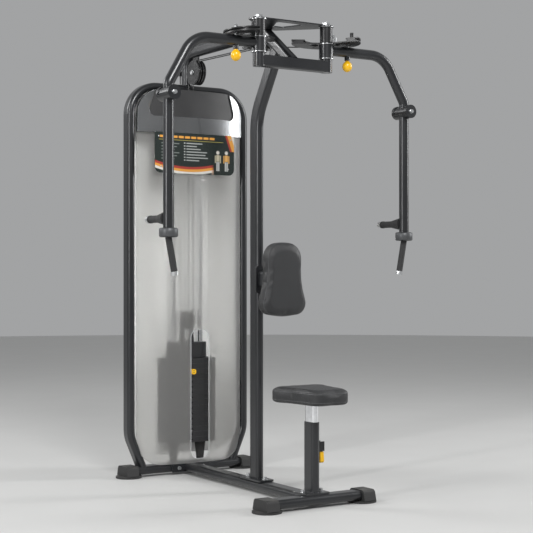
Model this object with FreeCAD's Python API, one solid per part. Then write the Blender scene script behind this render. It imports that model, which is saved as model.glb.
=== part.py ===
import FreeCAD, Part
import math
import os

# Pec fly / rear delt machine with a selectorised weight stack.
# Millimetres, +Z up. The origin is on the floor at the centre of the footprint.
# The user sits facing -Y. The tower with the stack stands at +Y. Left is -X, seen from the front.

# ---------------------------------------------------------------- driving dimensions
FIT = 0.3                 # gap left between a moving curved face and what it moves past
TUBE_WALL = 3.0           # wall of every structural tube
PLATE = 8.0               # flange and base plates
CABLE = 5.0               # cable diameter
WELD_LAP = 1.0            # how far a welded piece reaches into what it is welded to

# base
FOOT_WIDE, FOOT_TALL = 80.0, 40.0        # flat-oval section of the base tubes
FOOT_LIFT = 12.0                         # underside of the base tubes above the floor
REAR_FOOT_Y, FRONT_FOOT_Y = 592.0, -513.0
REAR_FOOT_REACH, FRONT_FOOT_REACH = 312.0, 239.0   # half distance between a foot's rubber pads
PAD_RADIUS, PAD_TALL = 62.0, 8.0
BOOT_INWARD, BOOT_OUTWARD = 27.0, 33.0   # how far a rubber boot reaches each way from its pad centre
BOOT_SKIN, BOOT_SIDE, BOOT_END = 4.0, 7.5, 12.0    # rubber over the tube's top, sides and end
BOOT_FLARE, BOOT_CORNER = 12.0, 18.0     # spread of a boot's foot, and its rounded shoulders
FLANGE_HALF = 102.0                      # half width of the flange behind the spine
FLANGE_BOLT_X = 66.0
ROD_SEAT_HALF, ROD_SEAT_DEEP = 95.0, 52.0

# column
COLUMN_Y = -51.5
COLUMN_DEEP, COLUMN_WIDE = 76.0, 38.0
COLUMN_BEND_BELOW, COLUMN_BEND_RADIUS, COLUMN_LEAN = 370.0, 230.0, 32.0   # bend's depth under the boom
COLUMN_PLATE_REACH, COLUMN_BOLT_INSET = 50.0, 19.0

# tower hoop
TOWER_SET = 1.0                          # hoop centre ahead of the rear foot's
HOOP_HALF, HOOP_TOP = 312.0, 1882.0      # leg centre line from the middle, and the outer top
HOOP_DEEP, HOOP_WIDE = 70.0, 38.0
HOOP_CORNER, HOOP_FOOT_HALF, HOOP_KNEE_Z, HOOP_KNEE_RADIUS = 140.0, 250.0, 196.0, 150.0

# boom
BOOM_RISE, BOOM_TALL, BOOM_WIDE = 156.0, 60.0, 40.0    # centre line above the hoop, and section
BOOM_BREAK_Y, BOOM_DROP, BOOM_BREAK_RADIUS, BOOM_REAR_RADIUS = -113.0, 36.0, 120.0, 80.0

# pivots: crossbeam, arm hub, cam hub and tie plate stacked on each shaft
PIVOT_X, PIVOT_Y = 172.0, -344.0
PIVOT_BELOW = 140.0                      # top of the bosses under the boom's centre line
BOSS_RADIUS, BOSS_PROUD, BEAM_TALL, BEAM_DEEP = 26.0, 9.0, 49.0, 50.0
BEAM_CORNER = 9.0
SHAFT_RADIUS, SHAFT_FIT = 12.5, 0.05
WASHER, WASHER_PROUD = 3.0, 6.0          # thickness, and reach beyond the cam hub
ARM_HUB_BELOW, ARM_HUB_ABOVE, ARM_HUB_RADIUS = 14.75, 0.75, 31.0    # arm hub beyond the tube
CAM_HUB_TALL, CAM_HUB_RADIUS = 72.0, 27.0
TIE_PLATE, TIE_EAR, TIE_REAR_Y, TIE_NECK = 5.0, 34.0, -150.0, 34.0
PIVOT_NUT, PIVOT_NUT_TALL, PIVOT_NUT_WASHER = 30.0, 9.0, 19.0
HINGE_HEAD, HINGE_HEAD_TALL, HINGE_WASHER = 15.0, 7.0, 9.5

# cams
CAM_FIRST, CAM_LAST = 30.0, 240.0        # sector of the cam, degrees about its pivot
CABLE_RADIUS = 140.0                     # cable centre line on the cam
CAM_LIP = 10.0                           # cam plates beyond the cable centre line
CAM_LIFT = 2.0                           # cam plate above the bottom of its hub
CAM_PLATE, CAM_GROOVE = 5.0, 8.0
CAM_RING_IN, CAM_CORE_IN = 48.0, 42.0    # ring plate and groove core inward of the cable centre line
CAM_WINDOW_FIRST, CAM_WINDOW_PITCH, CAM_WINDOW_WIDE = 48.0, 58.0, 44.0
CAM_WINDOW_OUT, CAM_WINDOW_IN = 84.0, 44.0
STOP_RADIUS, STOP_PITCH, STOP_FIRST, STOP_COUNT = 113.0, 12.0, 96.0, 9
STOP_NOTCH = 2.0                         # how much wider than the pin each stop is
POST_RADIUS, POST_TALL, POST_INSET = 8.0, 24.0, 14.0

# arms, pull pins and handles
ARM_TUBE = 44.5
ARM_CORNER_X, ARM_DROP, ARM_RADIUS, NECK_RADIUS = 485.0, 60.0, 120.0, 30.0
HINGE_X, HINGE_BELOW, HINGE_RADIUS, HINGE_LONG = 601.0, 242.0, 26.0, 104.0
EAR, EAR_GAP, HINGE_PIN = 13.0, 0.5, 7.0           # clevis ears, their side play, and the bolt's radius
YOKE_RADIUS, YOKE_GAP, YOKE_SHY = 30.0, 1.0, 8.0   # yoke, its play, and its edges below the pin
PIN_RADIUS, PIN_PROUD = 5.0, 3.0         # pull pin, and its tip above the cam
PIN_SLEEVE, PIN_BOSS, PIN_BOSS_LONG = 9.0, 12.0, 14.0
KNOB_RADIUS, KNOB_TALL, KNOB_BELOW = 21.5, 48.0, 39.75    # knob, and its centre below the tube
KNOB_NECK, KNOB_SOCKET = 9.0, 10.0
HANDLE_TUBE, HANDLE_LONG = 44.0, 560.0   # tube, and the collar's centre below the hinge
COLLAR_RADIUS, COLLAR_TALL, COLLAR_EDGE = 38.0, 38.0, 6.0
PEG_RISE, PEG_REACH, PEG_RADIUS, PEG_FLANGE, PEG_FLARE = 57.0, 177.0, 15.0, 29.0, 58.0
GRIP_RADIUS, GRIP_LONG, GRIP_SLANT = 13.5, 156.0, 10.8
GRIP_CAP, GRIP_CAP_PROUD = 16.0, 1.0

# tower covers
PANEL_HALF, PANEL_AHEAD, PANEL_BOW, PANEL = 286.0, 27.0, 50.0, 4.0     # edges ahead of the hoop's centre
PANEL_CLEAR, PANEL_CORNER = 4.0, 120.0   # above the base tubes, and the lower corners
SLOT_LEFT, SLOT_RIGHT, SLOT_SILL, SLOT_ABOVE, SLOT_CORNER = -17.0, 82.0, 20.0, 139.0, 38.0
HEADER_BELOW, HEADER_TALL, HEADER_CORNER, HEADER_THICK = 33.0, 208.0, 118.0, 12.0
RECESS_SILL, RECESS_HALF, RECESS_TOP_HALF, RECESS_CORNER = 77.0, 243.0, 200.0, 30.0
INSET, INSET_GAP = 5.0, 0.5
BACK_BEHIND, BACK_BOW, BACK_PANEL, BACK_LIFT = 31.0, 32.0, 3.0, 34.0
PLACARD_HALF, PLACARD_TALL, PLACARD_GAP, PLACARD = 218.0, 194.0, 5.0, 3.0
PLACARD_POST, PLACARD_POST_X, PLACARD_POST_INSET = 5.0, 180.0, 24.0

# weight stack
STACK_COUNT, LIFTED_COUNT, STACK_PITCH, STACK_PLATE = 16, 3, 25.4, 25.0
STACK_BASE, STACK_WIDE, STACK_DEEP, STACK_CORNER = 151.6, 270.0, 104.0, 10.0
ROD_X, ROD_RADIUS, ROD_GAP = 74.0, 12.5, 1.5
BUMPER_RADIUS, BUMPER_FOOT = 27.0, 17.0
STEM_RADIUS, STEM_LIFT = 11.0, 8.0
HEAD_GAP, HEAD_WIDE, HEAD_TALL, HEAD_LUG, HEAD_INSET = 1.0, 134.0, 75.0, 18.0, 12.0
SELECTOR_RADIUS, SELECTOR_LONG = 4.5, 75.0
KEY_HALF, KEY_DEEP, KEY_OFF = 12.5, 18.0, 3.0      # selector's moulded head, and its stand-off
FORK_TALL, FORK_DEEP, FORK_PLATE, FORK_FOOT, AXLE_RADIUS = 107.0, 48.0, 5.0, 8.0, 6.0

# pulleys
TOP_PULLEY_BELOW, TOP_RUN_RADIUS, TOP_AXLE_RADIUS = 105.0, 55.0, 8.0
FLOAT_RUN_RADIUS = 42.0
GUIDE_Y, GUIDE_RUN_RADIUS, GUIDE_PULLEY = -60.0, 30.0, 14.0
PULLEY_LIP, PULLEY_FIT, PULLEY_SIDE = 3.5, 0.05, 1.5    # rim, bore play, and play beside a pulley
GROOVE_FLARE = 1.2                       # how much wider each side of a groove is at the rim
STRAND_X, SHEAVE = 12.5, 16.0            # each cable from the middle, and the width of a sheave
HANGER_GAP, HANGER_HALF = 1.0, 26.0      # play beside the plate between the top sheaves, and its half depth
AXLE_HEAD, AXLE_HEAD_TALL, AXLE_WASHER = 17.0, 6.0, 11.0

# back pad and seat
BACK_PAD_FACE_Y, BACK_PAD_THICK = -290.0, 65.0
BACK_PAD_LOW, BACK_PAD_HIGH = 778.0, 1109.0
BACK_PAD_TOP_WIDE, BACK_PAD_LOW_WIDE = 165.0, 240.0
BACK_PAD_TOP_CORNER, BACK_PAD_LOW_CORNER, BACK_PAD_SAG, BACK_PAD_SAG_RADIUS = 72.0, 54.0, 10.0, 550.0
SEAT_POST_Y, SEAT_OUTER_TOP = -485.0, 352.0
SEAT_OUTER_DEEP, SEAT_OUTER_WIDE = 80.0, 40.0
BUSHING_WALL, BUSHING_TALL, SEAT_INNER_LOW = 0.7, 60.0, 120.0
SEAT_TOP, SEAT_THICK, SEAT_STEEL = 491.0, 60.0, 6.0
SEAT_STEEL_HALF, SEAT_STEEL_NARROW, SEAT_STEEL_BROAD = 75.0, 45.0, 55.0     # halves of the plate under it
SEAT_BEHIND, SEAT_AHEAD = 136.0, 169.0   # how far the cushion reaches each way from its post
SEAT_REAR_WIDE, SEAT_FRONT_WIDE, SEAT_CORNER = 290.0, 170.0, 42.0
LEVER_OUT, LEVER_Z, LEVER_LONG = 24.0, 254.0, 76.0
LEVER_EAR_LOW, LEVER_GRIP_BELOW, LEVER_TONGUE = 26.0, 29.0, 46.0     # below the lever's axle
SEAT_FLANGE, SEAT_BOLT_INSET = 42.0, 17.0          # foot plate beyond the post, and its bolts
LEVER_PIN, LEVER_EAR, LEVER_HALF = 4.0, 4.0, 17.0

# ---------------------------------------------------------------- values worked out from them
TOWER_Y = REAR_FOOT_Y - TOWER_SET
BOOM_Z = HOOP_TOP + BOOM_RISE
FOOT_TOP = FOOT_LIFT + FOOT_TALL
FOOT_MID = FOOT_LIFT + FOOT_TALL / 2
BASE_TOP = FOOT_TOP + PLATE
BOSS_HIGH = BOOM_Z - PIVOT_BELOW
BEAM_HIGH = BOSS_HIGH - BOSS_PROUD
BEAM_LOW = BEAM_HIGH - BEAM_TALL
ARM_HUB_LOW = BOSS_HIGH + WASHER
ARM_HUB_TALL = ARM_HUB_BELOW + ARM_TUBE + ARM_HUB_ABOVE
CAM_HUB_LOW = ARM_HUB_LOW + ARM_HUB_TALL + WASHER
CAM_HUB_HIGH = CAM_HUB_LOW + CAM_HUB_TALL
CAM_Z = CAM_HUB_LOW + CAM_LIFT
CAM_TOP = CAM_Z + 2 * CAM_PLATE + CAM_GROOVE
CAM_RIM = CABLE_RADIUS + CAM_LIP
CABLE_Z = CAM_Z + CAM_PLATE + CAM_GROOVE / 2
TIE_Z = CAM_HUB_HIGH + WASHER
ARM_Z = ARM_HUB_LOW + ARM_HUB_BELOW + ARM_TUBE / 2
PIN_X = PIVOT_X + STOP_RADIUS
PIN_TOP = CAM_TOP + PIN_PROUD
KNOB_Z = ARM_Z - ARM_TUBE / 2 - KNOB_BELOW
HINGE_Z = ARM_Z - HINGE_BELOW
COLLAR_Z = HINGE_Z - HANDLE_LONG
PEG_Z = COLLAR_Z + PEG_RISE
PANEL_EDGE_Y = TOWER_Y - PANEL_AHEAD
PANEL_RADIUS = (PANEL_HALF ** 2 + PANEL_BOW ** 2) / (2 * PANEL_BOW)
PANEL_LOW = FOOT_TOP + PANEL_CLEAR
HEADER_TOP = HOOP_TOP - HEADER_BELOW
PANEL_HIGH = HEADER_TOP - HEADER_TALL
PLACARD_LOW = PANEL_HIGH - PLACARD_TALL
STACK_TOP = STACK_BASE + STACK_COUNT * STACK_PITCH
REST_COUNT = STACK_COUNT - LIFTED_COUNT
STACK_FRONT = TOWER_Y - STACK_DEEP / 2
SELECTOR_Z = STACK_BASE + REST_COUNT * STACK_PITCH + STACK_PLATE / 2
HEAD_LOW = STACK_TOP + HEAD_GAP
FORK_LOW = HEAD_LOW + HEAD_TALL
FLOAT_Z = FORK_LOW + FORK_TALL
PULLEY_WIDE = 2 * STRAND_X + SHEAVE
STRAND_FRONT_Y = TOWER_Y - FLOAT_RUN_RADIUS
STRAND_REAR_Y = TOWER_Y + FLOAT_RUN_RADIUS
TOP_PULLEY_Y = STRAND_FRONT_Y - TOP_RUN_RADIUS
TOP_PULLEY_Z = BOOM_Z - TOP_PULLEY_BELOW
GUIDE_X = STRAND_X + GUIDE_RUN_RADIUS
SEAT_INNER_DEEP = SEAT_OUTER_DEEP - 2 * (TUBE_WALL + BUSHING_WALL + FIT)
SEAT_INNER_WIDE = SEAT_OUTER_WIDE - 2 * (TUBE_WALL + BUSHING_WALL + FIT)
SEAT_STEEL_LOW = SEAT_TOP - SEAT_THICK - SEAT_STEEL
SEAT_REAR_Y = SEAT_POST_Y + SEAT_BEHIND
SEAT_FRONT_Y = SEAT_POST_Y - SEAT_AHEAD
LEVER_X = SEAT_OUTER_WIDE / 2 + LEVER_OUT

V = FreeCAD.Vector
X, Y, Z = V(1, 0, 0), V(0, 1, 0), V(0, 0, 1)


# ---------------------------------------------------------------- small geometry helpers
def box(low, high):
    size = V(*high) - V(*low)
    return Part.makeBox(size.x, size.y, size.z, V(*low))


def cyl(radius, long, base, axis=Z):
    return Part.makeCylinder(radius, long, V(*base), axis)


def ring(outer, inner, long, base, axis=Z):
    return cyl(outer, long, base, axis).cut(cyl(inner, long, base, axis))


def join(*shapes):
    return shapes[0].multiFuse(list(shapes[1:])).removeSplitter()


def group(*shapes):
    return Part.makeCompound(list(shapes))


def mirrored(shape):
    return shape.mirror(V(0, 0, 0), X)


def pair(shape):
    """The shape and its mirror image, as two solids of one node."""
    return group(shape, mirrored(shape))


def segment(a, b):
    return Part.LineSegment(a, b).toShape()


def arc(a, mid, b):
    return Part.Arc(a, mid, b).toShape()


def rectangle(x_half, y, y_half, z):
    """Corners of a level rectangle about the middle plane."""
    return [V(sx * x_half, y + sy * y_half, z) for sx, sy in ((-1, -1), (1, -1), (1, 1), (-1, 1))]


def oval(centre, long_dir, short_dir, long, short):
    """A flat-oval outline: two straight sides and two half circles."""
    half, radius = (long - short) / 2, short / 2
    along, across = long_dir * half, short_dir * radius
    tip = long_dir * (half + radius)
    a, b = centre + along + across, centre - along + across
    c, d = centre - along - across, centre + along - across
    return Part.Wire([segment(a, b), arc(b, centre - tip, c), segment(c, d), arc(d, centre + tip, a)])


def route(points, radii):
    """Straight runs joined by tangent arcs; radii has one value for each inner point."""
    edges, start = [], points[0]
    for before, corner, after, radius in zip(points, points[1:], points[2:], radii):
        inward = (before - corner).normalize()
        outward = (after - corner).normalize()
        half_turn = inward.getAngle(outward) / 2
        reach = radius / math.tan(half_turn)
        middle = (inward + outward).normalize()
        centre = corner + middle * (radius / math.sin(half_turn))
        first, last = corner + inward * reach, corner + outward * reach
        edges += [segment(start, first), arc(first, centre - middle * radius, last)]
        start = last
    return Part.Wire(edges + [segment(start, points[-1])])


def sweep(path, outline, binormal):
    pipe = Part.BRepOffsetAPI.MakePipeShell(path)
    pipe.setBiNormalMode(binormal)
    pipe.add(outline)
    pipe.build()
    pipe.makeSolid()
    return pipe.shape()


def oval_tube(points, radii, binormal, along_binormal, across, filled=False):
    """A bent flat-oval tube. along_binormal and across are the section's two widths."""
    path = route(points, radii)
    side = (points[1] - points[0]).normalize().cross(binormal)
    dirs = (binormal, side) if along_binormal > across else (side, binormal)
    long, short = max(along_binormal, across), min(along_binormal, across)
    outer = sweep(path, oval(points[0], *dirs, long, short), binormal)
    if filled:
        return outer
    cut = 2 * TUBE_WALL
    return outer.cut(sweep(path, oval(points[0], *dirs, long - cut, short - cut), binormal))


def oval_bar(centre, axis, long_dir, long, short, length, filled=False):
    """A straight flat-oval tube that starts at centre and runs along axis."""
    short_dir = axis.cross(long_dir)
    outer = Part.Face(oval(centre, long_dir, short_dir, long, short)).extrude(axis * length)
    if filled:
        return outer
    cut = 2 * TUBE_WALL
    inner = Part.Face(oval(centre, long_dir, short_dir, long - cut, short - cut))
    return outer.cut(inner.extrude(axis * length))


def outline(corners, radii, axis, depth):
    """A closed polygon with rounded corners, extruded along axis."""
    edges, count, ends = [], len(corners), []
    for i in range(count):
        corner = corners[i]
        inward = (corners[i - 1] - corner).normalize()
        outward = (corners[(i + 1) % count] - corner).normalize()
        half_turn = inward.getAngle(outward) / 2
        reach = radii[i] / math.tan(half_turn)
        middle = (inward + outward).normalize()
        tip = corner + middle * (radii[i] / math.sin(half_turn) - radii[i])
        ends.append((corner + inward * reach, tip, corner + outward * reach))
    for i, (first, tip, last) in enumerate(ends):
        if radii[i] > 0:
            edges.append(arc(first, tip, last))
        edges.append(segment(last, ends[(i + 1) % count][0]))
    return Part.Face(Part.Wire(edges)).extrude(axis * depth)


def hex_bolt(across, head, washer_radius, base, axis):
    """A hexagon head on a washer, standing on base."""
    base, washer = V(*base), 2.0
    turn = FreeCAD.Rotation(Z, axis)
    points = []
    for i in range(7):
        angle = math.radians(60 * i)
        spot = V(math.cos(angle), math.sin(angle), 0) * (across / math.sqrt(3))
        points.append(base + axis * washer + turn.multVec(spot))
    hexagon = Part.Face(Part.makePolygon(points)).extrude(axis * head)
    return join(Part.makeCylinder(washer_radius, washer, base, axis), hexagon)


def pulley(rim, width, grooves, groove_radius, bore, centre, axis):
    """A turned pulley; each groove has a round bottom and sides that flare out to the rim."""
    side = X if axis == Z else Z
    half, round_half = width / 2, CABLE / 2 + FIT
    mouth = round_half + GROOVE_FLARE

    def spot(along, radius):
        return V(*centre) + axis * along + side * radius

    corners = [spot(-half, bore), spot(-half, rim)]
    edges = [segment(*corners)]
    last = corners[-1]
    for offset in grooves:
        points = [spot(offset - mouth, rim), spot(offset - round_half, groove_radius),
                  spot(offset, groove_radius - round_half), spot(offset + round_half, groove_radius),
                  spot(offset + mouth, rim)]
        edges += [segment(last, points[0]), segment(points[0], points[1]), arc(*points[1:4]),
                  segment(points[3], points[4])]
        last = points[4]
    edges += [segment(last, spot(half, rim)), segment(spot(half, rim), spot(half, bore)),
              segment(spot(half, bore), corners[0])]
    return Part.Face(Part.Wire(edges)).revolve(V(*centre), axis, 360)


def sector(outer, inner, first, last, low, high):
    """A flat ring sector about the left pivot; angles in degrees from +X."""
    centre = V(-PIVOT_X, PIVOT_Y, low)
    body = Part.makeCylinder(outer, high - low, centre, Z, last - first)
    body.rotate(centre, Z, first)
    return body.cut(cyl(inner, high - low, centre))


def spot_on_cam(radius, angle, z):
    turn = math.radians(angle)
    return V(-PIVOT_X + radius * math.cos(turn), PIVOT_Y + radius * math.sin(turn), z)


# ---------------------------------------------------------------- base
def foot_solid(y, reach, filled=False):
    half = reach + BOOT_OUTWARD - BOOT_END
    return oval_bar(V(-half, y, FOOT_MID), X, Y, FOOT_WIDE, FOOT_TALL, 2 * half, filled)


def rubber_boots():
    """Four moulded boots: a round pad and a flared sleeve with rounded shoulders over the tube's end."""
    boots = []
    top, high = FOOT_TOP + BOOT_SKIN, FOOT_WIDE / 2 + BOOT_SIDE
    low = high + BOOT_FLARE
    for y, reach in ((REAR_FOOT_Y, REAR_FOOT_REACH), (FRONT_FOOT_Y, FRONT_FOOT_REACH)):
        side = [V(reach - BOOT_INWARD, y + sy * half, z) for sy, half, z in (
            (-1, low, PAD_TALL), (1, low, PAD_TALL), (1, high, top), (-1, high, top))]
        sleeve = outline(side, (PAD_TALL / 2, PAD_TALL / 2, BOOT_CORNER, BOOT_CORNER), X,
                         BOOT_INWARD + BOOT_OUTWARD)
        boot = join(sleeve, cyl(PAD_RADIUS, PAD_TALL, (reach, y, 0)))
        boot = boot.cut(foot_solid(y, reach, filled=True)).cut(hoop_solid(filled=True))
        boots += [boot, mirrored(boot)]
    return group(*boots)


def rear_foot_beam():
    corners = rectangle(ROD_SEAT_HALF, TOWER_Y, ROD_SEAT_DEEP / 2, FOOT_TOP)
    rod_seat = outline(corners, (6,) * 4, Z, PLATE)
    return join(foot_solid(REAR_FOOT_Y, REAR_FOOT_REACH), rod_seat)


def base_spine():
    rear = REAR_FOOT_Y - FOOT_WIDE / 2
    front = FRONT_FOOT_Y + FOOT_WIDE / 2
    tube = oval_bar(V(0, front, FOOT_MID), Y, X, FOOT_WIDE, FOOT_TALL, rear - front)
    flange = box((-FLANGE_HALF, rear - PLATE, FOOT_LIFT), (FLANGE_HALF, rear, FOOT_TOP))
    inside = oval_bar(V(0, rear - PLATE, FOOT_MID), Y, X, FOOT_WIDE, FOOT_TALL, PLATE, filled=True)
    return join(tube, flange.cut(inside))


def frame_bolts():
    rear = REAR_FOOT_Y - FOOT_WIDE / 2 - PLATE
    column_bolt = COLUMN_DEEP / 2 + COLUMN_PLATE_REACH - COLUMN_BOLT_INSET
    bolts = [hex_bolt(13, 8, 9, (x, rear, FOOT_MID), -Y) for x in (-FLANGE_BOLT_X, FLANGE_BOLT_X)]
    bolts += [hex_bolt(19, 10, 13, (0, COLUMN_Y + dy, BASE_TOP), Z) for dy in (-column_bolt, column_bolt)]
    seat_bolt = SEAT_OUTER_WIDE / 2 + SEAT_FLANGE - SEAT_BOLT_INSET
    bolts += [hex_bolt(17, 9, 11, (x, SEAT_POST_Y, BASE_TOP), Z) for x in (-seat_bolt, seat_bolt)]
    bolts += [hex_bolt(PIVOT_NUT, PIVOT_NUT_TALL, PIVOT_NUT_WASHER, (x, PIVOT_Y, TIE_Z + TIE_PLATE), Z)
              for x in (-PIVOT_X, PIVOT_X)]
    reach = PULLEY_WIDE / 2 + HANGER_GAP
    bolts += [hex_bolt(AXLE_HEAD, AXLE_HEAD_TALL, AXLE_WASHER,
                       (side * reach, TOP_PULLEY_Y, TOP_PULLEY_Z), X * side) for side in (-1, 1)]
    return group(*bolts)


# ---------------------------------------------------------------- tower, column, boom and crossbeam
def hoop_solid(filled=False):
    top = HOOP_TOP - HOOP_WIDE / 2
    low = FOOT_MID
    lean = (HOOP_HALF - HOOP_FOOT_HALF) / (HOOP_KNEE_Z - FOOT_TOP)
    foot = HOOP_FOOT_HALF - lean * (FOOT_TOP - low)
    points = [V(-foot, TOWER_Y, low), V(-HOOP_HALF, TOWER_Y, HOOP_KNEE_Z), V(-HOOP_HALF, TOWER_Y, top)]
    points += [V(-p.x, p.y, p.z) for p in reversed(points)]
    radii = (HOOP_KNEE_RADIUS, HOOP_CORNER, HOOP_CORNER, HOOP_KNEE_RADIUS)
    return oval_tube(points, radii, Y, HOOP_DEEP, HOOP_WIDE, filled)


def tower_hoop():
    """Bent tube standing on the rear foot, divided where its straight legs run into the top bends."""
    tube = hoop_solid().cut(foot_solid(REAR_FOOT_Y, REAR_FOOT_REACH, filled=True))
    bend, side = HOOP_TOP - HOOP_WIDE / 2 - HOOP_CORNER, 2 * HOOP_HALF
    near, far = TOWER_Y - HOOP_DEEP, TOWER_Y + HOOP_DEEP
    legs = box((-side, near, 0), (side, far, bend))
    arch = box((-side, near, bend), (side, far, 2 * HOOP_TOP))
    return parted(tube, legs, arch)


def cable_anchor():
    """Lug welded on the back of the boom's leg; both cables end in it."""
    face = TOWER_Y + BOOM_TALL / 2
    half = STRAND_X + 2 * CABLE
    top = TOP_PULLEY_Z + 22
    return box((-half, face - WELD_LAP, TOP_PULLEY_Z), (half, STRAND_REAR_Y + 2 * CABLE, top))


def boom_solid(filled):
    drop = math.radians(BOOM_DROP)
    ahead = PIVOT_Y - BEAM_DEEP / 2
    end = V(0, ahead - BOOM_TALL, BOOM_Z - math.tan(drop) * (BOOM_BREAK_Y - ahead + BOOM_TALL))
    points = [V(0, TOWER_Y, HOOP_TOP), V(0, TOWER_Y, BOOM_Z), V(0, BOOM_BREAK_Y, BOOM_Z), end]
    radii = (BOOM_REAR_RADIUS, BOOM_BREAK_RADIUS)
    boom = oval_tube(points, radii, X, BOOM_WIDE, BOOM_TALL, filled)
    if not filled:
        boom = join(boom, cable_anchor())
    landing = box((-BOOM_WIDE, ahead - 2 * BOOM_TALL, 0), (BOOM_WIDE, ahead + BEAM_DEEP, BEAM_HIGH))
    return boom.cut(landing)


def column_solid(filled=False):
    lean = math.radians(COLUMN_LEAN)
    bend = BOOM_Z - COLUMN_BEND_BELOW
    points = [V(0, COLUMN_Y, BASE_TOP), V(0, COLUMN_Y, bend)]
    points.append(V(0, COLUMN_Y - COLUMN_BEND_BELOW * math.tan(lean), BOOM_Z))
    return oval_tube(points, (COLUMN_BEND_RADIUS,), X, COLUMN_WIDE, COLUMN_DEEP, filled)


def column():
    tube = column_solid().cut(boom_solid(filled=True))
    kept = max(tube.Solids, key=lambda solid: solid.Volume)
    corners = rectangle(COLUMN_WIDE, COLUMN_Y, COLUMN_DEEP / 2 + COLUMN_PLATE_REACH, FOOT_TOP)
    plate = outline(corners, (10,) * 4, Z, PLATE)
    return join(kept, plate)


def crossbeam():
    boss = cyl(BOSS_RADIUS, BOSS_HIGH - BEAM_LOW, (PIVOT_X, PIVOT_Y, BEAM_LOW))
    core = cyl(SHAFT_RADIUS, BOSS_HIGH - BEAM_LOW, (PIVOT_X, PIVOT_Y, BEAM_LOW))
    half = BEAM_DEEP / 2
    corners = [V(-PIVOT_X, PIVOT_Y + sy * half, z) for sy, z in
               ((-1, BEAM_LOW), (1, BEAM_LOW), (1, BEAM_HIGH), (-1, BEAM_HIGH))]
    beam = outline(corners, (BEAM_CORNER,) * 4, X, 2 * PIVOT_X)
    wall = TUBE_WALL
    hollow = box((-PIVOT_X + BOSS_RADIUS, PIVOT_Y - half + wall, BEAM_LOW + wall),
                 (PIVOT_X - BOSS_RADIUS, PIVOT_Y + half - wall, BEAM_HIGH - wall))
    return join(beam.cut(hollow), boss, mirrored(boss)).cut(core).cut(mirrored(core))


def pivot_shafts():
    shaft = cyl(SHAFT_RADIUS, TIE_Z + TIE_PLATE - BEAM_LOW, (PIVOT_X, PIVOT_Y, BEAM_LOW))
    return pair(shaft)


def pivot_washers():
    spots = (BOSS_HIGH, ARM_HUB_LOW + ARM_HUB_TALL, CAM_HUB_HIGH)
    outer = CAM_HUB_RADIUS + WASHER_PROUD
    rings = [ring(outer, SHAFT_RADIUS, WASHER, (PIVOT_X, PIVOT_Y, z)) for z in spots]
    return group(*rings, *[mirrored(r) for r in rings])


def top_tie_plate():
    """Yoke plate that ties both shaft ends to the boom, with a window behind its front bar."""
    ahead, behind, window = 24.0, 30.0, 18.0
    side = PIVOT_X + TIE_EAR
    corners = [V(-side, PIVOT_Y - ahead, TIE_Z), V(side, PIVOT_Y - ahead, TIE_Z),
               V(side, PIVOT_Y + behind, TIE_Z), V(TIE_NECK, TIE_REAR_Y, TIE_Z),
               V(-TIE_NECK, TIE_REAR_Y, TIE_Z), V(-side, PIVOT_Y + behind, TIE_Z)]
    plate = outline(corners, (20, 20, 24, 8, 8, 24), Z, TIE_PLATE)
    gap = TIE_REAR_Y - PIVOT_Y
    wide, narrow, deep = gap * 0.36, gap * 0.12, PIVOT_Y + gap * 0.62
    window_corners = [V(-wide, PIVOT_Y + window, TIE_Z), V(wide, PIVOT_Y + window, TIE_Z),
                      V(narrow, deep, TIE_Z), V(-narrow, deep, TIE_Z)]
    opening = outline(window_corners, (12,) * 4, Z, TIE_PLATE)
    core = cyl(SHAFT_RADIUS, TIE_PLATE, (PIVOT_X, PIVOT_Y, TIE_Z))
    return plate.cut(opening).cut(core).cut(mirrored(core)).cut(boom_solid(filled=True))


# ---------------------------------------------------------------- tower covers
def bowed(edge_y, bow, thick, offset, body, sign):
    """body cut to a shell that bows by bow over the panel's width; sign -1 bows forward."""
    radius = (PANEL_HALF ** 2 + bow ** 2) / (2 * bow)
    centre = V(0, edge_y - sign * (radius - bow), 0)
    outer = Part.makeCylinder(radius + offset + thick, BOOM_Z, centre, Z)
    inner = Part.makeCylinder(radius + offset, BOOM_Z, centre, Z)
    return body.common(outer.cut(inner))


def front_block(corners, radii):
    """An outline in X and Z, extruded from well ahead of the tower to its middle."""
    ahead = PANEL_EDGE_Y - 2 * PANEL_BOW
    return outline([V(x, ahead, z) for x, z in corners], radii, Y, 200)


def cover_outline(low, high, low_corner, high_corner):
    corners = [(-PANEL_HALF, low), (PANEL_HALF, low), (PANEL_HALF, high), (-PANEL_HALF, high)]
    return front_block(corners, (low_corner, low_corner, high_corner, high_corner))


def parted(solid, *blocks):
    """The solid divided into the shares that lie in each block, which only touch one another."""
    return group(*[share for block in blocks for share in solid.common(block).Solids])


def front_shroud():
    """Frosted sheet with a closed slot for reaching the selector, divided about the slot and its corners."""
    sheet = cover_outline(PANEL_LOW, PANEL_HIGH, PANEL_CORNER, 0)
    shell = bowed(PANEL_EDGE_Y, PANEL_BOW, PANEL, -PANEL, sheet, -1)
    low, high = PANEL_LOW + SLOT_SILL, STACK_TOP + SLOT_ABOVE
    slot = front_block([(SLOT_LEFT, low), (SLOT_RIGHT, low), (SLOT_RIGHT, high), (SLOT_LEFT, high)],
                       (SLOT_CORNER,) * 4)
    sheet = shell.cut(slot).cut(hoop_solid(filled=True))
    near, wide = PANEL_EDGE_Y - 2 * PANEL_BOW, 2 * PANEL_HALF
    spans = ((-wide, SLOT_LEFT, 0, HOOP_TOP), (SLOT_RIGHT, wide, 0, HOOP_TOP),
             (SLOT_LEFT, SLOT_RIGHT, 0, low), (SLOT_LEFT, SLOT_RIGHT, high, HOOP_TOP),
             (SLOT_LEFT, SLOT_RIGHT, low, high))
    blocks = [box((left, near, bottom), (right, TOWER_Y, top)) for left, right, bottom, top in spans]
    return parted(sheet, *blocks)


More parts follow.
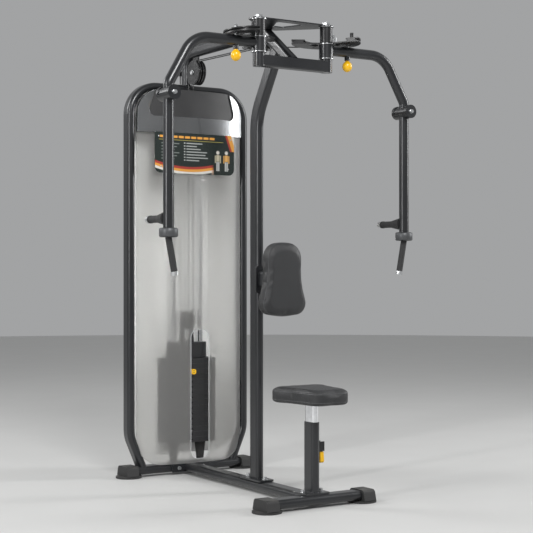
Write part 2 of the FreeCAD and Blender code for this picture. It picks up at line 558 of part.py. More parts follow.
def rear_shroud():
    low, high = PANEL_LOW + BACK_LIFT, HEADER_TOP - HEADER_THICK
    sheet = cover_outline(low, high, PANEL_CORNER, HEADER_CORNER)
    sheet.translate(Y * 2 * (PANEL_AHEAD + BACK_BEHIND))
    edge = TOWER_Y + BACK_BEHIND
    return bowed(edge, BACK_BOW, BACK_PANEL, -BACK_PANEL, sheet, 1).cut(hoop_solid(filled=True))


def header_recess(gap):
    """The header's sunk face: rounded below, its sides leaning in towards the top."""
    low, high = PANEL_HIGH + RECESS_SILL + gap, HEADER_TOP + HEADER_THICK
    bottom, top = RECESS_HALF - gap, RECESS_TOP_HALF - gap
    return front_block([(-bottom, low), (bottom, low), (top, high), (-top, high)],
                       (RECESS_CORNER, RECESS_CORNER, 0, 0))


def header_cap():
    sheet = cover_outline(PANEL_HIGH, HEADER_TOP, 0, HEADER_CORNER)
    shell = bowed(PANEL_EDGE_Y, PANEL_BOW, HEADER_THICK + PANEL, -PANEL, sheet, -1)
    sunk = bowed(PANEL_EDGE_Y, PANEL_BOW, HEADER_THICK, 0, header_recess(0), -1)
    return shell.cut(sunk).cut(hoop_solid(filled=True))


def header_inset():
    """Blank panel that lies in the header's recess."""
    sheet = header_recess(INSET_GAP).common(cover_outline(PANEL_HIGH, HEADER_TOP, 0, HEADER_CORNER))
    return bowed(PANEL_EDGE_Y, PANEL_BOW, INSET, 0, sheet, -1).cut(hoop_solid(filled=True))


def instruction_placard():
    back = PANEL_EDGE_Y - PANEL_BOW - PLACARD_GAP
    corners = [V(-PLACARD_HALF, back, PLACARD_LOW), V(PLACARD_HALF, back, PLACARD_LOW),
               V(PLACARD_HALF, back, PANEL_HIGH), V(-PLACARD_HALF, back, PANEL_HIGH)]
    board = outline(corners, (30, 30, 6, 6), -Y, PLACARD)
    sheet_face = Part.makeCylinder(PANEL_RADIUS, BOOM_Z, V(0, PANEL_EDGE_Y + PANEL_RADIUS - PANEL_BOW, 0), Z)
    posts = []
    for x in (-PLACARD_POST_X, PLACARD_POST_X):
        reach = PANEL_RADIUS - math.sqrt(PANEL_RADIUS ** 2 - x ** 2) + PLACARD_GAP + WELD_LAP
        for z in (PLACARD_LOW + PLACARD_POST_INSET, PANEL_HIGH - PLACARD_POST_INSET):
            posts.append(cyl(PLACARD_POST, reach, (x, back, z), Y).cut(sheet_face))
    return join(board, *posts)


# ---------------------------------------------------------------- weight stack
def guide_rods():
    top = HOOP_TOP - HOOP_WIDE
    return pair(cyl(ROD_RADIUS, top - BASE_TOP, (ROD_X, TOWER_Y, BASE_TOP)))


def rod_bumpers():
    """Tapered rubber sleeves on the guide rods, which the stack rests on."""
    tall = STACK_BASE - BASE_TOP
    cone = Part.makeCone(BUMPER_FOOT, BUMPER_RADIUS, tall, V(ROD_X, TOWER_Y, BASE_TOP))
    return pair(cone.cut(cyl(ROD_RADIUS + FIT, tall, (ROD_X, TOWER_Y, BASE_TOP))))


def stack_plate(index):
    z = STACK_BASE + index * STACK_PITCH
    corners = rectangle(STACK_WIDE / 2, TOWER_Y, STACK_DEEP / 2, z)
    plate = outline(corners, (STACK_CORNER,) * 4, Z, STACK_PLATE)
    for x in (-ROD_X, ROD_X):
        plate = plate.cut(cyl(ROD_RADIUS + ROD_GAP, STACK_PLATE, (x, TOWER_Y, z)))
    plate = plate.cut(cyl(STEM_RADIUS + ROD_GAP, STACK_PLATE, (0, TOWER_Y, z)))
    hole = cyl(SELECTOR_RADIUS + FIT, SELECTOR_LONG + FIT, (0, STACK_FRONT, z + STACK_PLATE / 2), Y)
    return plate.cut(hole)


def resting_plates():
    return group(*[stack_plate(i) for i in range(REST_COUNT)])


def lifted_plates():
    return group(*[stack_plate(i) for i in range(REST_COUNT, STACK_COUNT)])


def head_plate():
    corners = rectangle(HEAD_WIDE / 2, TOWER_Y, STACK_DEEP / 2 - HEAD_INSET, HEAD_LOW)
    body = outline(corners, (STACK_CORNER,) * 4, Z, HEAD_TALL)
    for x in (-ROD_X, ROD_X):
        body = join(body, cyl(ROD_RADIUS + HEAD_LUG, HEAD_TALL, (x, TOWER_Y, HEAD_LOW)))
    for x in (-ROD_X, ROD_X):
        body = body.cut(cyl(ROD_RADIUS + ROD_GAP, HEAD_TALL, (x, TOWER_Y, HEAD_LOW)))
    return body.cut(cyl(STEM_RADIUS, HEAD_TALL, (0, TOWER_Y, HEAD_LOW)))


def selector_stem():
    low = STACK_BASE + STEM_LIFT
    stem = cyl(STEM_RADIUS, FORK_LOW - low, (0, TOWER_Y, low))
    for index in range(STACK_COUNT):
        z = STACK_BASE + index * STACK_PITCH + STACK_PLATE / 2
        hole = cyl(SELECTOR_RADIUS + FIT, 3 * STEM_RADIUS, (0, TOWER_Y - 1.5 * STEM_RADIUS, z), Y)
        stem = stem.cut(hole)
    return stem


def selector_pin():
    back = STACK_FRONT - KEY_OFF
    nose = cyl(SELECTOR_RADIUS, SELECTOR_LONG + KEY_OFF, (0, back, SELECTOR_Z), Y)
    corners = [V(sx * KEY_HALF, back - KEY_DEEP, SELECTOR_Z + sz * KEY_HALF)
               for sx, sz in ((-1, -1), (1, -1), (1, 1), (-1, 1))]
    return join(nose, outline(corners, (KEY_HALF * 0.75,) * 4, Y, KEY_DEEP))


def clevis_half_gap():
    """Inner face of the plates each side of a two-cable pulley."""
    return PULLEY_WIDE / 2 + PULLEY_SIDE


def pulley_fork():
    gap, deep = clevis_half_gap(), FORK_DEEP / 2
    nose = 2.8 * AXLE_RADIUS
    corners = [V(gap, TOWER_Y - deep, FORK_LOW), V(gap, TOWER_Y + deep, FORK_LOW),
               V(gap, TOWER_Y + nose, FLOAT_Z + nose), V(gap, TOWER_Y - nose, FLOAT_Z + nose)]
    plate = outline(corners, (0, 0, nose * 0.8, nose * 0.8), X, FORK_PLATE)
    side = gap + FORK_PLATE
    foot = box((-side, TOWER_Y - deep, FORK_LOW), (side, TOWER_Y + deep, FORK_LOW + FORK_FOOT))
    half = side + FORK_PLATE
    axle = cyl(AXLE_RADIUS, 2 * half, (-half, TOWER_Y, FLOAT_Z), X)
    return join(plate, mirrored(plate), foot, axle)


def floating_pulley():
    centre = (0, TOWER_Y, FLOAT_Z)
    return pulley(FLOAT_RUN_RADIUS + PULLEY_LIP, PULLEY_WIDE, (-STRAND_X, STRAND_X), FLOAT_RUN_RADIUS,
                  AXLE_RADIUS + PULLEY_FIT, centre, X)


# ---------------------------------------------------------------- cable and its pulleys
def top_pulleys():
    """Two sheaves side by side, one for each cable, with their hanger between them."""
    sheaves = [pulley(TOP_RUN_RADIUS + PULLEY_LIP, SHEAVE, (0,), TOP_RUN_RADIUS, TOP_AXLE_RADIUS + PULLEY_FIT,
                      (x, TOP_PULLEY_Y, TOP_PULLEY_Z), X) for x in (-STRAND_X, STRAND_X)]
    return group(*sheaves)


def top_pulley_hanger():
    """Plate under the boom that carries the top sheaves' axle."""
    half = STRAND_X - SHEAVE / 2 - HANGER_GAP
    low = 2 * TOP_AXLE_RADIUS
    foot = TOP_PULLEY_Z - low
    corners = [V(-half, TOP_PULLEY_Y + y, z) for y, z in
               ((-low, foot), (low, foot), (HANGER_HALF, BOOM_Z), (-HANGER_HALF, BOOM_Z))]
    plate = outline(corners, (low - 2, low - 2, 0, 0), X, 2 * half)
    reach = PULLEY_WIDE / 2 + HANGER_GAP
    axle = cyl(TOP_AXLE_RADIUS, 2 * reach, (-reach, TOP_PULLEY_Y, TOP_PULLEY_Z), X)
    return join(plate, axle).cut(boom_solid(filled=True))


def guide_pulley():
    centre = (-GUIDE_X, GUIDE_Y, CABLE_Z)
    return pulley(GUIDE_RUN_RADIUS + PULLEY_LIP, GUIDE_PULLEY, (0,), GUIDE_RUN_RADIUS,
                  AXLE_RADIUS + PULLEY_FIT, centre, Z)


def guide_pulley_bracket():
    """One plate under the boom that carries both guide pulleys on upright axles."""
    half, thick, keeper_tall = 16.0, 6.0, 3.0
    low = CABLE_Z + GUIDE_PULLEY / 2 + 2 * PULLEY_SIDE
    under = CABLE_Z - GUIDE_PULLEY / 2 - PULLEY_SIDE / 3 - keeper_tall
    plate = outline(rectangle(GUIDE_X + half, GUIDE_Y, half, low), (half - 2,) * 4, Z, thick)
    block = box((2 - half, GUIDE_Y - half, low + thick), (half - 2, GUIDE_Y + half, BOOM_Z))
    axle = cyl(AXLE_RADIUS, low + thick - under, (GUIDE_X, GUIDE_Y, under))
    keeper = cyl(AXLE_RADIUS + 4, keeper_tall, (GUIDE_X, GUIDE_Y, under))
    body = join(plate, block, axle, keeper, mirrored(axle), mirrored(keeper))
    return body.cut(boom_solid(filled=True))


def cable_tangent():
    """Where the left cable leaves the cam and meets the guide pulley, seen from above."""
    cam = V(-PIVOT_X, PIVOT_Y, 0)
    guide = V(-GUIDE_X, GUIDE_Y, 0)
    between = guide - cam
    swing = math.asin((CABLE_RADIUS + GUIDE_RUN_RADIUS) / between.Length)
    heading = math.atan2(between.y, between.x) - swing
    left = V(-math.sin(heading), math.cos(heading), 0)
    return cam + left * CABLE_RADIUS, guide - left * GUIDE_RUN_RADIUS, heading


def rod_between(a, b, radius=CABLE / 2):
    return Part.makeCylinder(radius, (b - a).Length, a, b - a)


def left_cable():
    leave, meet, heading = cable_tangent()
    lift = V(0, 0, CABLE_Z)
    start, touch = leave + lift, meet + lift
    away = V(-GUIDE_X + GUIDE_RUN_RADIUS, GUIDE_Y, CABLE_Z)
    guide = V(-GUIDE_X, GUIDE_Y, CABLE_Z)
    turn = math.pi / 2 - heading
    middle = heading - math.pi / 2 + turn / 2
    mid = guide + V(math.cos(middle), math.sin(middle), 0) * GUIDE_RUN_RADIUS
    wrap = Part.Wire([arc(touch, mid, away)])
    circle = Part.Wire([Part.Circle(touch, V(math.cos(heading), math.sin(heading), 0), CABLE / 2).toShape()])
    bend = sweep(wrap, circle, Z)
    top = V(-STRAND_X, TOP_PULLEY_Y, TOP_PULLEY_Z + TOP_RUN_RADIUS)
    quarter = Part.makeTorus(TOP_RUN_RADIUS, CABLE / 2, V(-STRAND_X, TOP_PULLEY_Y, TOP_PULLEY_Z), X)
    corner = box((-STRAND_X - CABLE, TOP_PULLEY_Y, TOP_PULLEY_Z),
                 (-STRAND_X + CABLE, STRAND_FRONT_Y + CABLE, top.z + CABLE))
    return join(rod_between(start, touch), bend, rod_between(away, top), quarter.common(corner))


def lift_cables():
    runs = []
    for x in (-STRAND_X, STRAND_X):
        for y in (STRAND_FRONT_Y, STRAND_REAR_Y):
            runs.append(cyl(CABLE / 2, TOP_PULLEY_Z - FLOAT_Z, (x, y, FLOAT_Z)))
    return group(*runs)


def cable_loops():
    loops = []
    for x in (-STRAND_X, STRAND_X):
        whole = Part.makeTorus(FLOAT_RUN_RADIUS, CABLE / 2, V(x, TOWER_Y, FLOAT_Z), X)
        reach = FLOAT_RUN_RADIUS + CABLE
        below = box((x - CABLE, TOWER_Y - reach, FLOAT_Z - reach), (x + CABLE, TOWER_Y + reach, FLOAT_Z))
        loops.append(whole.common(below))
    return group(*loops)


# ---------------------------------------------------------------- left cam, arm, pull pin and handle
def left_cam():
    """Two rim plates and a groove core about the hub, with an arc of notched stops for the pull pin."""
    low, mid, high = CAM_Z, CAM_Z + CAM_PLATE, CAM_Z + CAM_PLATE + CAM_GROOVE
    under = sector(CAM_RIM, SHAFT_RADIUS, CAM_FIRST, CAM_LAST, low, mid)
    groove = CABLE_RADIUS - CABLE / 2 - FIT
    core = sector(groove, CABLE_RADIUS - CAM_CORE_IN, CAM_FIRST, CAM_LAST, mid, high)
    over = sector(CAM_RIM, CABLE_RADIUS - CAM_RING_IN, CAM_FIRST, CAM_LAST, high, CAM_TOP)
    for index in range(3):
        first = CAM_WINDOW_FIRST + index * CAM_WINDOW_PITCH
        under = under.cut(sector(CAM_WINDOW_OUT, CAM_WINDOW_IN, first, first + CAM_WINDOW_WIDE, low, mid))
    hub = cyl(CAM_HUB_RADIUS, CAM_HUB_TALL, (-PIVOT_X, PIVOT_Y, CAM_HUB_LOW))
    post_spot = spot_on_cam(STOP_RADIUS, CAM_LAST - POST_INSET, CAM_TOP)
    body = join(under, core, over, hub, Part.makeCylinder(POST_RADIUS, POST_TALL, post_spot, Z))
    last, half = STOP_FIRST + STOP_PITCH * (STOP_COUNT - 1), PIN_RADIUS + FIT
    body = body.cut(sector(STOP_RADIUS + half, STOP_RADIUS - half, STOP_FIRST, last, low, CAM_TOP))
    for step in range(STOP_COUNT):
        spot = spot_on_cam(STOP_RADIUS, STOP_FIRST + STOP_PITCH * step, low)
        body = body.cut(Part.makeCylinder(PIN_RADIUS + STOP_NOTCH, CAM_TOP - low, spot, Z))
    return body.cut(cyl(SHAFT_RADIUS + SHAFT_FIT, CAM_HUB_TALL, (-PIVOT_X, PIVOT_Y, CAM_HUB_LOW)))


def arm_points():
    drop = math.radians(ARM_DROP)
    reach = HINGE_X - ARM_CORNER_X
    end = V(-HINGE_X, PIVOT_Y, ARM_Z - reach * math.tan(drop))
    return [V(-PIVOT_X, PIVOT_Y, ARM_Z), V(-ARM_CORNER_X, PIVOT_Y, ARM_Z), end, V(-HINGE_X, PIVOT_Y, HINGE_Z)]


def round_sweep(points, radii, radius):
    heading = points[1] - points[0]
    circle = Part.Wire([Part.Circle(points[0], heading, radius).toShape()])
    return sweep(route(points, radii), circle, Y)


def left_arm():
    points = arm_points()
    half, hinge_half = ARM_TUBE / 2, HINGE_LONG / 2
    barrel_long = HINGE_LONG - 2 * (EAR + EAR_GAP)
    barrel = cyl(HINGE_RADIUS, barrel_long, (-HINGE_X, PIVOT_Y - barrel_long / 2, HINGE_Z), Y)
    bends = (ARM_RADIUS, NECK_RADIUS)
    tube = round_sweep(points, bends, half)
    core = round_sweep(points, bends, half - TUBE_WALL)
    hub = cyl(ARM_HUB_RADIUS, ARM_HUB_TALL, (-PIVOT_X, PIVOT_Y, ARM_HUB_LOW))
    sleeve = cyl(PIN_SLEEVE, ARM_TUBE, (-PIN_X, PIVOT_Y, ARM_Z - half))
    boss_low = ARM_Z - half - PIN_BOSS_LONG
    boss = cyl(PIN_BOSS, PIN_BOSS_LONG + half / 2, (-PIN_X, PIVOT_Y, boss_low))
    body = join(tube.cut(core.cut(sleeve)), hub, barrel, boss.cut(core), sleeve.common(tube))
    body = body.cut(cyl(HINGE_PIN + SHAFT_FIT, HINGE_LONG, (-HINGE_X, PIVOT_Y - hinge_half, HINGE_Z), Y))
    body = body.cut(cyl(PIN_RADIUS + FIT, PIN_TOP - boss_low, (-PIN_X, PIVOT_Y, boss_low)))
    return body.cut(cyl(SHAFT_RADIUS + SHAFT_FIT, ARM_HUB_TALL, (-PIVOT_X, PIVOT_Y, ARM_HUB_LOW)))


def left_pull_pin():
    low = KNOB_Z + KNOB_TALL / 2 - KNOB_SOCKET
    return cyl(PIN_RADIUS, PIN_TOP - low, (-PIN_X, PIVOT_Y, low))


def left_pin_knob():
    """Ball knob, a little taller than wide, on the pull pin's lower end."""
    ball = Part.makeSphere(KNOB_RADIUS)
    stretch = FreeCAD.Matrix()
    stretch.scale(1, 1, KNOB_TALL / 2 / KNOB_RADIUS)
    ball = ball.transformGeometry(stretch)
    ball.translate(V(-PIN_X, PIVOT_Y, KNOB_Z))
    top = KNOB_Z + KNOB_TALL / 2
    neck = cyl(KNOB_NECK, 5, (-PIN_X, PIVOT_Y, top - 4))
    return join(ball, neck).cut(cyl(PIN_RADIUS, 2 * KNOB_SOCKET, (-PIN_X, PIVOT_Y, top - KNOB_SOCKET)))


def handle_collar():
    low = COLLAR_Z - COLLAR_TALL / 2
    disc = cyl(COLLAR_RADIUS, COLLAR_TALL, (-HINGE_X, PIVOT_Y, low))
    return disc.makeFillet(COLLAR_EDGE, disc.Edges)


def left_handle_tube():
    """Trough and two round ears about the hinge barrel, the upright tube and the collar at its foot."""
    front = PIVOT_Y - HINGE_LONG / 2
    hinge = (-HINGE_X, front, HINGE_Z)
    ears = [cyl(YOKE_RADIUS, EAR, (-HINGE_X, y, HINGE_Z), Y) for y in (front, front + HINGE_LONG - EAR)]
    room = cyl(HINGE_RADIUS + YOKE_GAP, HINGE_LONG - 2 * EAR, (-HINGE_X, front + EAR, HINGE_Z), Y)
    above = box((-HINGE_X - YOKE_RADIUS, front + EAR, HINGE_Z - YOKE_SHY),
                (-HINGE_X + YOKE_RADIUS, front + HINGE_LONG - EAR, HINGE_Z + YOKE_RADIUS))
    trough = cyl(YOKE_RADIUS, HINGE_LONG, hinge, Y).cut(room).cut(above)
    low = COLLAR_Z + COLLAR_TALL / 2
    tube = ring(HANDLE_TUBE / 2, HANDLE_TUBE / 2 - TUBE_WALL, HINGE_Z - low, (-HINGE_X, PIVOT_Y, low))
    body = join(trough, *ears, tube.cut(room).cut(above), handle_collar())
    return body.cut(cyl(HINGE_PIN, HINGE_LONG, hinge, Y))


def left_hinge_bolt():
    front = PIVOT_Y - HINGE_LONG / 2
    shank = cyl(HINGE_PIN, HINGE_LONG, (-HINGE_X, front, HINGE_Z), Y)
    head = hex_bolt(HINGE_HEAD, HINGE_HEAD_TALL, HINGE_WASHER, (-HINGE_X, front, HINGE_Z), -Y)
    nut = hex_bolt(HINGE_HEAD, HINGE_HEAD_TALL, HINGE_WASHER, (-HINGE_X, front + HINGE_LONG, HINGE_Z), Y)
    return join(shank, head, nut)


def left_side_peg():
    inside = HANDLE_TUBE / 2
    base = V(-HINGE_X, PIVOT_Y, PEG_Z)
    flare = Part.makeCone(PEG_FLANGE, PEG_RADIUS + 2, PEG_FLARE + 8, base + Y * (inside - 8), Y)
    peg = Part.makeCylinder(PEG_RADIUS, PEG_REACH - GRIP_CAP, base, Y)
    tube = cyl(inside, 4 * PEG_FLANGE, (-HINGE_X, PIVOT_Y, PEG_Z - 2 * PEG_FLANGE))
    return join(flare, peg).cut(tube).cut(handle_collar())


def grip_frame():
    slant = math.radians(GRIP_SLANT)
    start = V(-HINGE_X, PIVOT_Y, COLLAR_Z - COLLAR_TALL / 2)
    return start, V(math.sin(slant), 0, -math.cos(slant))


def left_lower_grip():
    start, heading = grip_frame()
    lap = COLLAR_TALL / 2
    bar = Part.makeCylinder(GRIP_RADIUS, GRIP_LONG - GRIP_CAP + lap, start - heading * lap, heading)
    above = box((-HINGE_X - COLLAR_RADIUS, PIVOT_Y - COLLAR_RADIUS, start.z),
                (-HINGE_X + COLLAR_RADIUS, PIVOT_Y + COLLAR_RADIUS, start.z + 2 * COLLAR_TALL))
    return bar.cut(above)


def left_grip_caps():
    start, heading = grip_frame()
    tip = start + heading * (GRIP_LONG - GRIP_CAP)
    low = Part.makeCylinder(GRIP_RADIUS + GRIP_CAP_PROUD, GRIP_CAP, tip, heading)
    side = cyl(PEG_RADIUS + GRIP_CAP_PROUD, GRIP_CAP, (-HINGE_X, PIVOT_Y + PEG_REACH - GRIP_CAP, PEG_Z), Y)
    return group(low, side)


# ---------------------------------------------------------------- back pad and seat
def back_pad():
    back = BACK_PAD_FACE_Y + BACK_PAD_THICK
    low, high = BACK_PAD_LOW_WIDE / 2, BACK_PAD_TOP_WIDE / 2
    side = BACK_PAD_LOW + BACK_PAD_SAG
    corners = [V(-low, back, side), V(0, back, BACK_PAD_LOW), V(low, back, side),
               V(high, back, BACK_PAD_HIGH), V(-high, back, BACK_PAD_HIGH)]
    radii = (BACK_PAD_LOW_CORNER, BACK_PAD_SAG_RADIUS, BACK_PAD_LOW_CORNER,
             BACK_PAD_TOP_CORNER, BACK_PAD_TOP_CORNER)
    return outline(corners, radii, -Y, BACK_PAD_THICK)


def upright_plate(half_wide, half_tall, y, z, thick):
    corners = [V(sx * half_wide, y, z + sz * half_tall) for sx, sz in ((-1, -1), (1, -1), (1, 1), (-1, 1))]
    return outline(corners, (12,) * 4, Y, thick)


def back_pad_bracket():
    """Plate behind the cushion, a flat-oval stub and a flange on the column's face."""
    back = BACK_PAD_FACE_Y + BACK_PAD_THICK
    middle = (BACK_PAD_LOW + BACK_PAD_HIGH) / 2
    front = COLUMN_Y - COLUMN_DEEP / 2
    stub = oval_bar(V(0, back, middle), Y, Z, FOOT_WIDE, COLUMN_WIDE, COLUMN_Y - back)
    plate = upright_plate(55, 95, back, middle, SEAT_STEEL)
    flange = upright_plate(30, 60, front - SEAT_STEEL, middle, 2 * SEAT_STEEL)
    return join(plate, stub, flange).cut(column_solid(filled=True))


def seat_post_outer():
    tall = SEAT_OUTER_TOP - BASE_TOP
    tube = oval_bar(V(0, SEAT_POST_Y, BASE_TOP), Z, Y, SEAT_OUTER_DEEP, SEAT_OUTER_WIDE, tall)
    corners = rectangle(SEAT_OUTER_WIDE / 2 + SEAT_FLANGE, SEAT_POST_Y, SEAT_OUTER_DEEP / 2 + PLATE, FOOT_TOP)
    return join(tube, outline(corners, (10,) * 4, Z, PLATE))


def seat_post_bushing():
    low = SEAT_OUTER_TOP - BUSHING_TALL
    bore, gap = 2 * TUBE_WALL, 2 * FIT
    solid = oval_bar(V(0, SEAT_POST_Y, low), Z, Y, SEAT_OUTER_DEEP - bore, SEAT_OUTER_WIDE - bore,
                     BUSHING_TALL, filled=True)
    hollow = oval_bar(V(0, SEAT_POST_Y, low), Z, Y, SEAT_INNER_DEEP + gap, SEAT_INNER_WIDE + gap,
                      BUSHING_TALL, filled=True)
    return solid.cut(hollow)


def seat_post_inner():
    tall = SEAT_STEEL_LOW - SEAT_INNER_LOW
    return oval_bar(V(0, SEAT_POST_Y, SEAT_INNER_LOW), Z, Y, SEAT_INNER_DEEP, SEAT_INNER_WIDE, tall)


def seat_plate():
    ahead, behind = SEAT_POST_Y - SEAT_STEEL_HALF, SEAT_POST_Y + SEAT_STEEL_HALF
    front, rear = SEAT_STEEL_NARROW, SEAT_STEEL_BROAD
    corners = [V(-front, ahead, SEAT_STEEL_LOW), V(front, ahead, SEAT_STEEL_LOW),
               V(rear, behind, SEAT_STEEL_LOW), V(-rear, behind, SEAT_STEEL_LOW)]
    return outline(corners, (14,) * 4, Z, SEAT_STEEL)


def seat_pad():
    rear, front = SEAT_REAR_WIDE / 2, SEAT_FRONT_WIDE / 2
    low = SEAT_TOP - SEAT_THICK
    corners = [V(-front, SEAT_FRONT_Y, low), V(front, SEAT_FRONT_Y, low),
               V(rear, SEAT_REAR_Y, low), V(-rear, SEAT_REAR_Y, low)]
    return outline(corners, (SEAT_CORNER,) * 4, Z, SEAT_THICK)


def lever_bracket():
    face, half, back = SEAT_OUTER_WIDE / 2, LEVER_HALF, 6.0
    low = LEVER_Z - LEVER_EAR_LOW
    base = box((face, SEAT_POST_Y - half, low), (face + back, SEAT_POST_Y + half, LEVER_Z + 26))
    ears = [box((face + back, y, low), (LEVER_X + 9, y + LEVER_EAR, LEVER_Z + 14))
            for y in (SEAT_POST_Y - half, SEAT_POST_Y + half - LEVER_EAR)]
    axle = cyl(LEVER_PIN, 2 * half, (LEVER_X, SEAT_POST_Y - half, LEVER_Z), Y)
    return join(base, *ears, axle)


def tongue_solid(top):
    return box((LEVER_X - 3, SEAT_POST_Y - 8, LEVER_Z - LEVER_TONGUE), (LEVER_X + 4, SEAT_POST_Y + 8, top))


def seat_lever():
    """Steel tongue that turns on the bracket's axle and draws the seat's lock pin."""
    half, boss_radius = LEVER_HALF - LEVER_EAR - 2 * FIT, LEVER_PIN + 5
    boss = ring(boss_radius, LEVER_PIN + SHAFT_FIT, 2 * half, (LEVER_X, SEAT_POST_Y - half, LEVER_Z), Y)
    bore = cyl(boss_radius - 1, 4 * half, (LEVER_X, SEAT_POST_Y - 2 * half, LEVER_Z), Y)
    return join(boss, tongue_solid(LEVER_Z).cut(bore))


def lever_grip():
    top = LEVER_Z - LEVER_GRIP_BELOW
    corners = [V(LEVER_X - 9, SEAT_POST_Y + sy * half, z) for sy, half, z in
               ((-1, 15, LEVER_Z - LEVER_LONG), (1, 15, LEVER_Z - LEVER_LONG), (1, 11, top), (-1, 11, top))]
    return outline(corners, (9, 9, 4, 4), X, 18).cut(tongue_solid(top))


# ---------------------------------------------------------------- all nodes
def build():
    nodes = {
        "rear_foot_beam": rear_foot_beam(),
        "front_foot_beam": foot_solid(FRONT_FOOT_Y, FRONT_FOOT_REACH),
        "rubber_boots": rubber_boots(),
        "base_spine": base_spine(),
        "frame_bolts": frame_bolts(),
        "tower_hoop": tower_hoop(),
        "column": column(),
        "boom": boom_solid(filled=False),
        "crossbeam": crossbeam(),
        "pivot_shafts": pivot_shafts(),
        "pivot_washers": pivot_washers(),
        "top_tie_plate": top_tie_plate(),
        "front_shroud": front_shroud(),
        "rear_shroud": rear_shroud(),
        "header_cap": header_cap(),
        "header_inset": header_inset(),
        "instruction_placard": instruction_placard(),
        "guide_rods": guide_rods(),
        "rod_bumpers": rod_bumpers(),
        "resting_plates": resting_plates(),
        "lifted_plates": lifted_plates(),
        "head_plate": head_plate(),
        "selector_stem": selector_stem(),
        "selector_pin": selector_pin(),
        "pulley_fork": pulley_fork(),
        "floating_pulley": floating_pulley(),
        "top_pulleys": top_pulleys(),
        "pulley_brackets": group(top_pulley_hanger(), guide_pulley_bracket()),
        "lift_cables": lift_cables(),
        "cable_loops": cable_loops(),
        "back_pad": back_pad(),
        "back_pad_bracket": back_pad_bracket(),
        "seat_post_outer": seat_post_outer(),
        "seat_post_bushing": seat_post_bushing(),
        "seat_post_inner": seat_post_inner(),
        "seat_plate": seat_plate(),
        "seat_pad": seat_pad(),
        "lever_bracket": lever_bracket(),
        "seat_lever": seat_lever(),
        "lever_grip": lever_grip(),
    }
    sided = {
        "cable": left_cable(),
        "guide_pulley": guide_pulley(),
        "cam": left_cam(),
        "arm": left_arm(),
        "pull_pin": left_pull_pin(),
        "pin_knob": left_pin_knob(),
        "handle_tube": left_handle_tube(),
        "hinge_bolt": left_hinge_bolt(),
        "hand_grips": group(left_side_peg(), left_lower_grip()),
        "grip_caps": left_grip_caps(),
    }
    for name, shape in sided.items():
        nodes["left_" + name] = shape
        nodes["right_" + name] = mirrored(shape)
    return nodes


os.makedirs("parts", exist_ok=True)
for name, shape in build().items():
    shape.exportStep(os.path.join("parts", name + ".step"))
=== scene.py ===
import math

import bmesh
import bpy
from mathutils import Matrix, Vector, noise
from mathutils.bvhtree import BVHTree


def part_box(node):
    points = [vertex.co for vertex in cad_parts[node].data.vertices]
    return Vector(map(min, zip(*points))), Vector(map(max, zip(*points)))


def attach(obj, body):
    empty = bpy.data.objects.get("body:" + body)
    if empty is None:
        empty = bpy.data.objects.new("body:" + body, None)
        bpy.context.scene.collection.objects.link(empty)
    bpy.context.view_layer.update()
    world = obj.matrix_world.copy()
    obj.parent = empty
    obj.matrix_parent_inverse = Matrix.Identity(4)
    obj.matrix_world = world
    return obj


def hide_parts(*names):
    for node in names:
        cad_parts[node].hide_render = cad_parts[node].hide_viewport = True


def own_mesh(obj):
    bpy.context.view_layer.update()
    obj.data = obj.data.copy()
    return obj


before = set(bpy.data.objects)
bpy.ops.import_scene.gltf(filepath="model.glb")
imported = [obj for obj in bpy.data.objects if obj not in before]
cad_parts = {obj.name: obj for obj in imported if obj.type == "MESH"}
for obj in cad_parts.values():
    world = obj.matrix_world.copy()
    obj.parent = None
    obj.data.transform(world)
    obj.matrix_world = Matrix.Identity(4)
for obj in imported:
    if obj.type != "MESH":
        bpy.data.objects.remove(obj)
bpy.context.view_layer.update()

# ---------------------------------------------------------------- sizes in metres
CAMERA_SPOT = (-3.077, -4.966, 0.985)
CAMERA_TURN = math.radians(-32.457)      # about +Z, from looking along +Y
CAMERA_LENS = 87.9
CAMERA_SHIFT = (0.0012, 0.0066)

PAD_CAP = 0.012                          # most that a pad's skin may swell
PAD_VOXEL = 0.005
PAD_INSET = 0.003                        # a pad starts this much inside its CAD solid
PAD_CROWN = 0.003                        # rise of a pad's middle over its rim
BACK_BASE, BACK_TOP, BACK_SAG = 0.12, 0.0825, 0.01      # half widths, and the drop of the lower edge
SEAT_FRONT, SEAT_REAR, SEAT_CORNER = 0.085, 0.145, 0.042
SEAM = 0.0011                            # radius of a pad's sewn seam
WELD = 0.0026
CABLE = 0.0025
SLOT = (-0.017, 0.082, 0.076, 0.697, 0.038)     # left, right, foot, head and corner of the shroud's slot
SLOT_BEAD = 0.0013
SLOT_GROW = 0.0016                       # the bead runs this far outside the slot's edge
COLLAR_RADIUS, COLLAR_TALL = 0.038, 0.038
CAM_PIVOT = 0.172                        # each cam's axis from the middle plane
SCALE_RADIUS = 0.099                     # middle of a cam's marker bar
SCALE_INNER, SCALE_OUTER = 0.0935, 0.1045
SCALE_FIRST, SCALE_LAST = 28, 58         # ends of the right cam's marker bar, in degrees
SCALE_RISE = 0.036
SCALE_SEARCH = 2.2                       # height above the whole machine, to look down on a cam from
GRIP_CAP = 0.016                         # radius of a side peg's end cap
GRIP_BAND, GRIP_RING = 0.0152, 0.0011    # a raised band's radius round the peg and its own thickness
POST_HALF_X, POST_HALF_Y, POST_CORNER = 0.0205, 0.0405, 0.008
POST_WELD_RISE = 0.0085                  # the weld lies on the seat post's base plate


def low_high(node):
    low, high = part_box(node)
    return Vector(low), Vector(high)


def surface_of(node):
    """The CAD node's skin in world space, for finding places on it."""
    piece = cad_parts[node]
    bm = bmesh.new()
    bm.from_mesh(piece.data)
    bm.transform(piece.matrix_world)
    tree = BVHTree.FromBMesh(bm)
    bm.free()
    return tree


